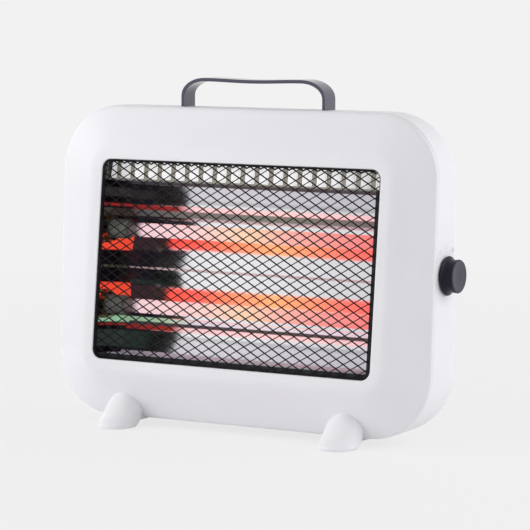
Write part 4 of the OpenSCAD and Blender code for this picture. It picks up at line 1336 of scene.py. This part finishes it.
@dataclass
class Guard:
    """The black mesh of expanded metal and its frame."""

    width: float = 235.0
    height: float = 155.0
    corner: float = 9.0
    rim: float = 3.5
    lift: float = 0.9
    pitch: Pair = (11.2, 6.5)
    front: float = -9.2
    thickness: float = 0.8
    overlap: float = 0.4
    dip: float = 0.17
    falling: Pair = (1.0, 0.42)
    rising: Pair = (0.68, 0.5)
    knot: tuple[Pair, ...] = ((-0.95, 0.0), (-0.4, -0.42), (0.4, -0.42), (0.95, 0.0), (0.4, 0.42), (-0.4, 0.42))
    knot_half: float = 0.34
    scallop: Pair = (69.6, 71.3)
    scallop_wire: Triple = (0.7, 1.15, 0.2)
    scallop_power: float = 0.7
    scallop_steps: int = 8
    bar_half: float = 0.35
    bar_rise: Pair = (-0.25, 2.2)
    window: Triple = (222.8, 142.8, 6.9)
    turned_up: float = 2.5
    liner: float = 0.35

    @property
    def middle(self) -> float:
        """The mesh's middle plane."""
        return self.front + self.thickness / 2

    def strand(self, blank: Blank, foot: float, side: int, size: Pair) -> None:
        """Adds one strand, which dips at each crossing.

        Args:
            blank: The mesh in the making.
            foot: Where it meets the middle height.
            side: 1 where it rises to the right, -1 where it falls.
            size: Its width and thickness.
        """
        step_x, step_z = self.pitch[0] / 4, self.pitch[1] / 4
        reach_x = self.width / 2 - self.rim + self.overlap
        reach_z = self.height / 2 - self.rim + self.overlap
        path = []
        count = int(2 * reach_x / step_x) + 2
        for k in range(-count, count + 1):
            x, z = foot + k * step_x, side * k * step_z
            if abs(x) < reach_x and abs(z) < reach_z:
                lean = self.dip * side * math.cos(math.pi * k / 2)
                path.append(Vector((x, self.middle + lean, z + self.lift)))
        if len(path) < 3:
            return
        section = [(v, u) for u, v in rounded(*size, 0.16, steps=1)]
        blank.swept(path, section, Vector((0, 1, 0)))

    def bond(self, blank: Blank, x: float, z: float) -> None:
        """Adds the short knot where strands cross."""
        points = [(x + u, z + v + self.lift) for u, v in self.knot]
        blank.prism(points, self.middle - self.knot_half, self.middle + self.knot_half)

    def scallops(self, blank: Blank) -> None:
        """Adds the arcs of wire and the bar that close the mesh under the window's upper edge.

        Args:
            blank: The mesh in the making.
        """
        low, high = self.scallop
        reach = self.width / 2 - self.rim
        steps = self.scallop_steps
        count = int(reach / self.pitch[0]) * steps
        path = []
        for k in range(-count, count + 1):
            rise = abs(math.sin(math.pi * (k / steps + 0.5))) ** self.scallop_power
            path.append(Vector((k / steps * self.pitch[0], self.middle, low + (high - low) * rise)))
        blank.swept(path, rounded(*self.scallop_wire, steps=1), Vector((0, 1, 0)))
        start, end = (high + rise for rise in self.bar_rise)
        near, far = self.middle - self.bar_half, self.middle + self.bar_half
        blank.block((-reach, near, start), (reach, far, end), 0.1)

    def edges(self, blank: Blank) -> None:
        """Adds the rim, and its inner edge turned forward along the window's edge.

        Args:
            blank: The mesh in the making.
        """
        outer = rounded(self.width, self.height, self.corner, self.lift)
        inner = rounded(self.width - 2 * self.rim, self.height - 2 * self.rim, self.corner - self.rim, self.lift)
        blank.hoop(outer, inner, self.front, self.front + self.thickness)
        width, height, radius = self.window
        thick = self.liner
        outer = rounded(width, height, radius, self.lift)
        inner = rounded(width - 2 * thick, height - 2 * thick, radius - thick, self.lift)
        blank.hoop(outer, inner, self.front + 0.1, self.front - self.turned_up)

    def mesh(self) -> Piece:
        """The mesh with its rim.

        Returns:
            The piece.
        """
        blank = Blank(Stand.FACE)
        pitch_x, pitch_z = self.pitch
        reach_x, reach_z = self.width / 2 - self.rim, self.height / 2 - self.rim
        count = int((reach_x + reach_z * pitch_x / pitch_z) / pitch_x) + 1
        for k in range(-count, count):
            foot = (k + 0.5) * pitch_x
            self.strand(blank, foot, -1, self.falling)
            self.strand(blank, foot, 1, self.rising)
        columns, rows = int(reach_x / pitch_x * 2), int(reach_z / pitch_z * 2)
        for i in range(-columns, columns + 1):
            for j in range(-rows, rows + 1):
                if (i + j) % 2:
                    self.bond(blank, i * pitch_x / 2, j * pitch_z / 2)
        self.scallops(blank)
        self.edges(blank)
        piece = blank.piece("guard_mesh_strands", ENAMEL, sharp=50)
        piece.visible_glossy = False
        return piece

    def make(self) -> None:
        """Makes the mesh and finishes the frame and its screws."""
        fit(self.mesh(), "guard", "guard_mesh")
        finish_nodes(ENAMEL, "guard_frame")
        finish_nodes(STEEL, "guard_screws")


# ---------- heating chamber ----------


@dataclass
class Chamber:
    """The polished reflector, its slotted strip and the sheets round them."""

    half: float = 114.0
    middle: float = -4.35
    sheet: float = 0.9
    shelf: float = 0.6
    trough: tuple[Pair, ...] = ((19.4, 0.0), (26.6, 36.0), (19.6, 43.0))
    knee: Pair = (14.1, 62.25)
    lip: float = -4.6
    folds: tuple[float, ...] = (0, 1.6, 1.4, 1.4, 2.2, 1.4, 1.4, 1.6, 0)
    columns: int = 12
    slots: int = 20
    bar: float = 3.4
    slot_rise: Pair = (59.1, 74.4)
    strip_edge: float = 2.1
    strip_front: float = -4.2
    strip_depth: float = 12.0
    strip_low: float = 57.9
    strip_top: float = 78.4
    strip_sheet: float = 0.6
    baffle_low: float = 58.1
    baffle_in: float = 0.4
    baffle_lean: float = 3.4

    def reflector(self) -> Piece:
        """The sheet with two troughs, folded steps and wings.

        Returns:
            The piece.
        """
        thick, (knee_y, knee_z), trough = self.sheet, self.knee, list(self.trough)
        front = trough + [(knee_y, knee_z - self.shelf), (self.lip, knee_z - self.shelf)]
        back = [(y + thick, z) for y, z in trough] + [(knee_y + thick, knee_z), (self.lip, knee_z)]
        inner, outer = (bend([(y, -z) for y, z in half[:0:-1]] + half, self.folds, 6) for half in (front, back))
        blank = Blank(Stand.FACE)
        rings = []
        for k in range(self.columns + 1):
            x = -self.half + 2 * self.half * k / self.columns
            rings.append([blank.at(x, y, z + self.middle) for y, z in inner + outer[::-1]])
        blank.skin(rings)
        sheet = blank.piece("reflector_sheet", MIRROR, sharp=60)
        even_normals(sheet)
        return sheet

    def strip(self) -> Piece:
        """The slotted strip with its flange and the baffle behind it.

        Returns:
            The piece.
        """
        front, thick, top = self.strip_front, self.strip_sheet, self.strip_top
        baffle_y, baffle_top_y = (front + self.strip_depth - inward for inward in (self.baffle_lean, self.baffle_in))
        outside = [(front, self.strip_low), (front, top), (baffle_top_y, top), (baffle_y, self.baffle_low)]
        inside = [(baffle_y - thick, self.baffle_low), (baffle_top_y - thick, top - thick),
                  (front + thick, top - thick), (front + thick, self.strip_low)]
        section = bend(outside, (0, 0.8, 0.8, 0), 3) + bend(inside, (0, 0.4, 0.4, 0), 3)
        blank = Blank(Stand.FACE)
        blank.skin([[blank.at(x, y, z) for y, z in section] for x in (-self.half, self.half)])
        strip = blank.piece("vent_strip_sheet", SLOTTED, sharp=50)
        tool = Blank(Stand.FACE)
        reach = self.half - self.strip_edge
        width = (2 * reach - (self.slots - 1) * self.bar) / self.slots
        low, high = self.slot_rise
        for k in range(self.slots):
            start = -reach + k * (width + self.bar)
            slot = rounded(width, high - low, 0.5, (low + high) / 2, 3)
            tool.prism([(x + start + width / 2, z) for x, z in slot], front - 2, front + thick + 2)
        carve(strip, tool.piece("slots", SLOTTED))
        smooth(strip, 50)
        return strip

    def make(self) -> None:
        """Makes the sheets and puts them in place."""
        fit(self.reflector(), "mirror", "reflector")
        fit(self.strip(), "mirror", "vent_strip")
        finish_nodes(PAINTED_PLATE, "end_plate_left", "end_plate_right")
        finish_nodes(ZINC, "heat_shield")
        finish_nodes(STEEL, "chassis_screws")


@dataclass
class HeatingTube:
    """One quartz tube with its coil, caps and clips.

    A profile gives places along the tube, each with its radius.
    """

    name: str
    z: float
    y: float = 2.4
    shift: float = 6.0
    half_tube: float = 120.0
    half_coil: float = 94.0
    tail_short: float = 0.3
    coil_radius: float = 2.15
    wire: float = 0.45
    turns: int = 92
    turn_steps: int = 14
    cap_cover: float = 20.0
    plate: float = 114.0
    tab: float = 0.7
    tab_half: float = 6.0
    tab_reach: Pair = (7.4, 10.5)
    rivet_place: Pair = (-3.6, 9.0)

    CAP = ((0, 6.2), (0.8, 7.0), (4.6, 7.0), (5.0, 6.55), (5.8, 6.55), (6.2, 7.0), (8.0, 7.0), (8.4, 6.55), (9.2, 6.55),
           (9.6, 7.0), (25.1, 7.0), (26.0, 6.1), (26.0, 1.35), (20.0, 1.35), (20.0, 5.05), (0, 5.05))
    COLLAR = ((0, 7.08), (0, 7.75), (4.4, 7.75), (5.4, 8.2), (6.0, 9.0), (6.0, 8.3), (5.2, 7.5), (4.4, 7.08))
    RIVET = ((0.7, 1.3), (1.2, 1.2), (1.5, 0.7))

    def coil(self) -> Piece:
        """The coil with its straight tails.

        Returns:
            The piece.
        """
        tail = self.half_tube - self.tail_short
        top = self.z + self.coil_radius
        path = [Vector((self.shift - tail, self.y, top))]
        steps = self.turns * self.turn_steps
        for k in range(steps + 1):
            angle = 2 * math.pi * k / self.turn_steps
            x = self.shift - self.half_coil + 2 * self.half_coil * k / steps
            y = self.y + self.coil_radius * math.sin(angle)
            path.append(Vector((x, y, self.z + self.coil_radius * math.cos(angle))))
        path.append(Vector((self.shift + tail, self.y, top)))
        blank = Blank(Stand.FACE)
        blank.swept(path, [(self.wire * math.cos(a), self.wire * math.sin(a)) for a in turns(6)])
        return blank.piece(f"coil_{self.name}_helix", WIRE, sharp=80)

    def cap(self, side: Side) -> Piece:
        """A ceramic end cap with its grooves.

        Args:
            side: The end that it closes.

        Returns:
            The piece.
        """
        mouth = self.shift + side.value * (self.half_tube - self.cap_cover)
        blank = Blank(Stand.FACE)
        blank.turned([(side.value * x, r) for x, r in self.CAP], (mouth, self.y, self.z), sides=48, looped=True)
        return blank.piece(f"cap_{self.name}_{side.word}_body", CERAMIC, sharp=30)

    def clip(self, side: Side) -> Piece:
        """A spring clip: a flared collar with two tabs on the end plate.

        Args:
            side: The end that it holds.

        Returns:
            The piece.
        """
        start = side.value * self.plate
        near, far = sorted((start, start - side.value * self.tab))
        collar, rivet = ([(-side.value * x, r) for x, r in profile] for profile in (self.COLLAR, self.RIVET))
        rivet_y, rivet_z = self.rivet_place
        blank = Blank(Stand.FACE)
        blank.turned(collar, (start, self.y, self.z), sides=48, looped=True)
        for up in (-1, 1):
            low, high = sorted(self.z + up * reach for reach in self.tab_reach)
            blank.block((near, self.y - self.tab_half, low), (far, self.y + self.tab_half, high), 0.15)
            blank.turned(rivet, (start, self.y + rivet_y, self.z + up * rivet_z), sides=20)
        return blank.piece(f"clip_{self.name}_{side.word}_spring", SPRING, sharp=35)

    def make(self) -> None:
        """Makes the tube's pieces and puts them in place."""
        finish_nodes(QUARTZ, f"tube_{self.name}")
        fit(self.coil(), "coil", f"coil_{self.name}")
        for side in Side:
            fit(self.cap(side), "cap", f"cap_{self.name}_{side.word}")
            fit(self.clip(side), "clip", f"clip_{self.name}_{side.word}")


# ---------- handle, knob and feet ----------


@dataclass
class Handle:
    """The carrying strap, which sags a little between its bends."""

    width: float = 116.0
    strap: float = 15.6
    thickness: float = 2.5
    y: float = 23.8
    top: float = 131.6
    tab_z: float = 100.1
    tab: float = 16.0
    tab_bend: float = 2.6
    leg_start: float = 9.0
    leg_step: float = 2.4
    bend_wide: float = 19.0
    bend_high: float = 13.0
    sag: float = 0.85

    def path(self) -> list[Vector]:
        """The strap's middle line, from one tab to the other.

        Returns:
            Its points.
        """
        half = self.thickness / 2
        leg = self.width / 2 - half
        low = self.tab_z + half
        flat = self.width / 2 - self.bend_wide
        start = low + self.leg_start
        corner = [(-leg - half + self.thickness + self.tab - half, low), (-leg, low), (-leg, start)]
        line = bend(corner, (0, self.tab_bend, 0), 5)
        line += [(-leg, start + self.leg_step * k) for k in range(1, 4)]
        for sine, cosine in quarter_turn(10):
            x = -flat - (self.bend_wide - half) * cosine
            line.append((x, self.top - self.bend_high + (self.bend_high - half) * sine))
        for k in range(1, 13):
            x = -flat + flat * k / 12
            line.append((x, self.top - half - self.sag * (1 + math.cos(math.pi * x / flat)) / 2))
        line += [(-x, z) for x, z in line[-2::-1]]
        return [Vector((x, self.y, z)) for x, z in line]

    def make(self) -> None:
        """Makes the strap and finishes its screws."""
        blank = Blank()
        blank.swept(self.path(), rounded(self.strap, self.thickness, 0.5, steps=4), Vector((0, 1, 0)))
        strap = blank.piece("handle_strap", STRAP, sharp=60)
        even_normals(strap)
        fit(strap, "strap", "handle")
        finish_nodes(STEEL, "handle_screws")


@dataclass
class Control:
    """The knob with the marks of its dial."""

    base: float = 150.5
    axis: Pair = (19.1, 1.3)
    flange: float = 13.5
    face: float = 11.5
    length: float = 9.5
    waist: float = 0.35
    flare: int = 7
    rim: float = 1.1
    click: float = 30.0
    dial: float = 19.5
    wall: float = 150.0
    proud: float = 0.12
    ring: Pair = (1.0, 1.55)
    bar_half: Pair = (0.3, 1.6)
    bar_pitch: float = 1.5
    notch_half: float = 0.6
    notch_along: Pair = (-1.0, 2.6)
    notch_reach: Pair = (-1.6, 2.0)

    BACK = ((3.0, 3.1), (3.0, 8.9), (0.3, 8.9), (0.0, 9.2), (0.0, 12.4), (0.4, 13.0), (1.0, 13.5), (1.3, 13.45))
    DISH = ((0.02, 9.6), (0.22, 8.6), (0.34, 6.0), (0.4, 3.0), (0.42, 0.6))

    def knob(self) -> Piece:
        """The turned knob with its pointer notch.

        Returns:
            The piece.
        """
        profile = list(self.BACK)
        for k in range(1, 13):
            t = k / 12
            flare = (self.flange - self.face) * (1 - t) ** self.flare
            profile.append((1.5 + (self.length - 2.6) * t, self.face + flare - self.waist * math.sin(math.pi * t)))
        for sine, cosine in quarter_turn(6)[1:]:
            profile.append((self.length - self.rim + self.rim * sine, self.face - self.rim + self.rim * cosine))
        profile += [(self.length - sunk, radius) for sunk, radius in self.DISH]
        y, z = self.axis
        blank = Blank()
        blank.turned(profile, (self.base, y, z), sides=96)
        knob = blank.piece("knob_turned", KNOB, sharp=35)
        tool = Blank()
        tool.place = tool.place @ Matrix.Translation((0, y, z)) @ Matrix.Rotation(math.radians(-self.click), 4, "X")
        (near, far), (low, high) = self.notch_along, self.notch_reach
        tool.block((self.base + near, -self.notch_half, self.flange + low),
                   (self.base + far, self.notch_half, self.flange + high))
        carve(knob, tool.piece("notch", KNOB))
        smooth(knob, 35)
        return knob

    def marks(self) -> Piece:
        """The dial's marks: a ring for off, one bar and two bars.

        Returns:
            The piece.
        """
        blank = Blank()
        y0, z0 = self.axis
        hole, edge = self.ring
        half_y, half_z = self.bar_half
        for number in range(3):
            angle = math.radians((number - 1) * self.click)
            y, z = y0 + self.dial * math.sin(angle), z0 + self.dial * math.cos(angle)
            if number == 0:
                ring = [(0.0, hole), (self.proud, hole), (self.proud, edge), (0.0, edge)]
                blank.turned(ring, (self.wall, y, z), sides=28, looped=True)
            for bar in range(number):
                middle = y + (bar - (number - 1) / 2) * self.bar_pitch
                blank.block((self.wall - 0.1, middle - half_y, z - half_z),
                            (self.wall + self.proud, middle + half_y, z + half_z))
        return blank.piece("dial_marks", PRINT, sharp=30)

    def make(self) -> None:
        """Makes the knob and the marks and finishes the switch."""
        fit(self.knob(), "knob", "knob", body=Body.CONTROL)
        fit(self.marks(), "shell")
        finish_nodes(STEEL, "switch_spindle", "switch_nut")
        finish_nodes(MOULDING, "switch_body")
        finish_nodes(BRASS, "switch_tabs")


@dataclass
class Feet:
    """The two feet, each a flared toe, a low sole and a heel.

    A row gives a height, with its reach away from the case's middle, towards it and to the sides.
    """

    spread: float = 89.0
    floor: float = 0.8 - 117.0
    toe_y: float = -22.0
    heel_y: float = 50.5
    sole: Triple = (22.0, 3.0, 8.5)
    pad: float = 9.1
    pad_depth: float = 1.4
    voxel: float = 0.75
    under: float = 1.5

    TOE = ((0, 13.2, 14.6, 12.7), (0.7, 14.3, 15.6, 13.8), (1.9, 14.2, 17.2, 14.3), (3.7, 12.5, 19.8, 14.1),
           (7, 8.8, 23, 13.8), (11, 5.3, 24.4, 13.5), (15, 2.2, 23.8, 12.3), (18.5, -0.9, 21.6, 10.1),
           (21.2, -4.2, 18.9, 7.2), (23, -7.4, 15.8, 4.0), (23.8, -10.4, 12.8, 1.2))
    HEEL = ((0, 12, 17, 12), (1.4, 11.8, 17, 11.9), (3.5, 9.8, 17, 11.5), (7, 7.6, 17, 11.3), (11, 5.4, 16.6, 10.4),
            (15, 2.8, 14.6, 8.2), (18, -0.6, 11.6, 5), (19.6, -4, 7.4, 1.4))

    def knuckle(self, blank: Blank, x: float, y: float, rows: Sequence[Sequence[float]], back: int) -> None:
        """Adds a toe or a heel.

        Args:
            blank: The mesh in the making.
            x: The foot's middle.
            y: The middle of its sole.
            rows: Its rows.
            back: The direction towards the case's middle along Y.
        """
        rings = []
        for height, away, inward, wide in [(-self.under, *rows[0][1:]), *rows]:
            middle, half = y + back * (inward - away) / 2, (inward + away) / 2
            z = self.floor + height
            rings.append([blank.at(x + wide * math.cos(a), middle + half * math.sin(a), z) for a in turns(56)])
        blank.skin(rings)

    def foot(self, side: Side, case: Piece) -> Piece:
        """One foot, moulded as one body and fitted to the case.

        Args:
            side: The end that it stands under.
            case: The case as a solid.

        Returns:
            The piece.
        """
        x = side.value * self.spread
        blank = Blank()
        self.knuckle(blank, x, self.toe_y, self.TOE, 1)
        self.knuckle(blank, x, self.heel_y, self.HEEL, -1)
        width, low, high = self.sole
        blank.block((x - width / 2, self.toe_y, self.floor + low), (x + width / 2, self.heel_y, self.floor + high), 0.8)
        foot = blank.piece(f"foot_{side.word}_body", TOE_SHELL)
        modify(foot, "REMESH", mode="VOXEL", voxel_size=self.voxel * MM)
        modify(foot, "SMOOTH", factor=0.5, iterations=9)
        settle(foot)
        tool = Blank()
        tool.block((x - 40, -80, self.floor - 9), (x + 40, 90, self.floor))
        for y in (self.toe_y, self.heel_y):
            tool.rod((x, y, self.floor - 1), (x, y, self.floor + self.pad_depth), self.pad)
        carve(foot, tool.piece("sole_cut", SHELL))
        carve(foot, case, keep=True)
        smooth(foot, 40)
        foot.data.materials.clear()
        foot.data.materials.append(TOE_SHELL.material)
        return foot

    def make(self, case: Piece) -> None:
        """Makes both feet and finishes their pads and screws.

        Args:
            case: The case as a solid, which is used up.
        """
        for side in Side:
            fit(self.foot(side, case), "shell", f"foot_{side.word}")
        bpy.data.objects.remove(case)
        finish_nodes(RUBBER, "foot_pads")
        finish_nodes(STEEL, "foot_screws")


class Innards:
    """The devices and leads behind the reflector, shown as constructed."""

    def make(self) -> None:
        """Finishes every node of the inside."""
        finish_nodes(MOULDING, "tip_microswitch", "thermal_cutout")
        finish_nodes(ZINC, "tip_bracket")
        finish_nodes(STEEL, "tip_pin", "inner_screws")
        finish_nodes(BRASS, "tip_pendulum", "terminal_screws")
        finish_nodes(GLAZE, "terminal_block")
        finish_nodes(RUBBER, "cord_gland")
        finish_nodes(SLEEVE_DARK, "lead_upper_right", "lead_lower_right", "lead_live", "lead_cutout", "lead_tip")
        finish_nodes(SLEEVE_PALE, "lead_left", "lead_neutral")


# ---------- studio ----------


@dataclass(frozen=True)
class Lamp:
    """A soft square lamp aimed at the case.

    It stands at degrees from -Y towards +X and above the level. Its power is in watts and its size in metres.
    """

    name: str
    azimuth: float
    elevation: float
    power: float
    shows: bool = True
    size: float = 1.0


@dataclass
class Studio:
    """The floor, the lamps, the surroundings and the camera, in metres."""

    azimuth: float = 30.0
    elevation: float = 6.35
    distance: float = 1.8379
    lens: float = 178.5
    shift: Pair = (0.0463, 0.006)
    clip_end: float = 200.0
    white: float = 0.887
    ambient: float = 0.54
    floor_colour: Colour = (0.93, 0.93, 0.93)
    floor_show: Pair = (0.84, 1.0)
    floor_fade: Pair = (0.3, 1.2)
    floor_radius: float = 40.0
    lamp_distance: float = 1.4
    lamps: tuple[Lamp, ...] = (
        Lamp("front_lamp", -33, 13, 4.7, shows=False),
        Lamp("left_lamp", -66, 14, 6.2),
        Lamp("right_lamp", 108, 20, 8.0),
    )
    card_depth: float = -0.062
    card_far: float = -0.7
    card_edge: tuple[Pair, ...] = ((-0.108, 0.0), (-0.108, 0.085), (-0.109, 0.105), (-0.11, 0.122), (-0.107, 0.13),
                                   (-0.111, 0.15), (-0.111, 0.196))
    # Faint glowing bands on the dark card: painted green and red reflections.
    card_tones: Stops = ((0, (0.006, 0.012, 0.009)), (1, (0.007, 0.005, 0.011)), (0.3, (0.03, 0.045, 0.036)),
                         (0.42, (0.004, 0.007, 0.006)), (0.75, (0.022, 0.016, 0.016)), (0.86, (0.006, 0.005, 0.01)))

    def aimed(self, name: str, data: bpy.types.ID, azimuth: float, elevation: float, distance: float) -> Piece:
        """Adds a lamp or camera that looks at the case's centre.

        Args:
            name: Its name.
            data: The lamp or camera.
            azimuth: Degrees from -Y towards +X.
            elevation: Degrees above the level.
            distance: Metres from the case's centre.

        Returns:
            The object.
        """
        turn, rise = math.radians(azimuth), math.radians(elevation)
        level = Vector((math.sin(turn), -math.cos(turn), 0)) * math.cos(rise)
        made = link(name, data)
        made.location = CASE_CENTRE * MM + (level + Vector((0, 0, math.sin(rise)))) * distance
        made.rotation_euler = (CASE_CENTRE * MM - made.location).to_track_quat("-Z", "Y").to_euler()
        return made

    def camera(self) -> None:
        """Sets up the camera."""
        data = bpy.data.cameras.new("camera")
        data.lens = self.lens
        data.shift_x, data.shift_y = self.shift
        data.clip_end = self.clip_end
        bpy.context.scene.camera = self.aimed("camera", data, self.azimuth, self.elevation, self.distance)

    def light(self) -> None:
        """Sets up the lamps, which polished metal shows or not."""
        for lamp in self.lamps:
            data = bpy.data.lights.new(lamp.name, "AREA")
            data.size = lamp.size
            data.energy = lamp.power
            made = self.aimed(lamp.name, data, lamp.azimuth, lamp.elevation, self.lamp_distance)
            made.visible_glossy = lamp.shows

    def seen(self, recipe: Recipe) -> Socket:
        """1 for rays that show a surface, and 0 for rays that light one."""
        paths = recipe.node("ShaderNodeLightPath").outputs
        return recipe.most(*(paths[f"Is {kind} Ray"] for kind in ("Camera", "Glossy", "Transmission")))

    def surroundings(self) -> None:
        """Makes the world white where it is seen, and plain where it lights."""
        world = bpy.data.worlds.new("studio")
        bpy.context.scene.world = world
        recipe = Recipe(world)
        recipe.tree.nodes.clear()
        lit = recipe.node("ShaderNodeBackground", {0: (1, 1, 1, 1), 1: self.ambient})
        shown = recipe.node("ShaderNodeBackground", {0: (self.white,) * 3 + (1,), 1: 1.0})
        inputs = {0: self.seen(recipe), 1: lit.outputs[0], 2: shown.outputs[0]}
        both = recipe.node("ShaderNodeMixShader", inputs)
        recipe.node("ShaderNodeOutputWorld", {0: both.outputs[0]})

    def floor(self) -> None:
        """Lays the floor, which keeps the shadow near the heater and fades into the background."""
        recipe = Recipe(bpy.data.materials.new("studio_floor"))
        recipe.dress(Base_Color=(*self.floor_colour, 1.0), Roughness=0.9)
        glow = recipe.node("ShaderNodeEmission", {0: (self.white,) * 3 + (1,), 1: 1.0})
        spot = recipe.node("ShaderNodeVectorMath", {0: recipe.position()}, operation="LENGTH").outputs["Value"]
        share = recipe.maths("MULTIPLY", self.seen(recipe), recipe.spread(spot, *self.floor_show, *self.floor_fade))
        both = recipe.node("ShaderNodeMixShader", {0: share, 1: recipe.shader.outputs[0], 2: glow.outputs[0]})
        recipe.wire(recipe.tree.nodes["Material Output"], {0: both.outputs[0]})
        blank = bmesh.new()
        bmesh.ops.create_circle(blank, cap_ends=True, segments=96, radius=self.floor_radius)
        data = bpy.data.meshes.new("floor")
        blank.to_mesh(data)
        blank.free()
        data.materials.append(recipe.owner)
        link("floor", data)

    def card(self) -> None:
        """Stands a dark card in front of the case's left end, which shows only in polished metal as a dark reflection,
        with faint glowing bands that paint green and red reflections.
        """
        top = self.card_edge[-1][1]
        recipe = Recipe(bpy.data.materials.new("dark_card"))
        height = recipe.rise(recipe.axis(recipe.position(), "Z"), (0.0, top))
        recipe.dress(Base_Color=(0, 0, 0, 1), Specular_IOR_Level=0.0, Emission_Strength=1.0,
                     Emission_Color=recipe.ramp(height, self.card_tones))
        data = bpy.data.meshes.new("dark_card")
        outline = [*self.card_edge, (self.card_far, top), (self.card_far, 0.0)]
        data.from_pydata([(x, self.card_depth, z) for x, z in outline], [], [tuple(range(len(outline)))])
        data.materials.append(recipe.owner)
        made = link("dark_card", data)
        made.visible_camera = made.visible_diffuse = made.visible_shadow = False

    def make(self) -> None:
        """Sets up the studio."""
        self.camera()
        self.surroundings()
        self.floor()
        self.card()
        self.light()
        bpy.context.scene.view_settings.view_transform = "Standard"


def main() -> None:
    """Builds the heater's pieces and the studio."""
    logging.basicConfig(level=logging.INFO, format="%(message)s")
    case = Case()
    case.make()
    Guard().make()
    Chamber().make()
    HeatingTube("upper", 22.9).make()
    HeatingTube("lower", -31.6).make()
    Handle().make()
    Control().make()
    Feet().make(case.solid())
    Innards().make()
    Studio().make()


if __name__ == "__main__":
    main()
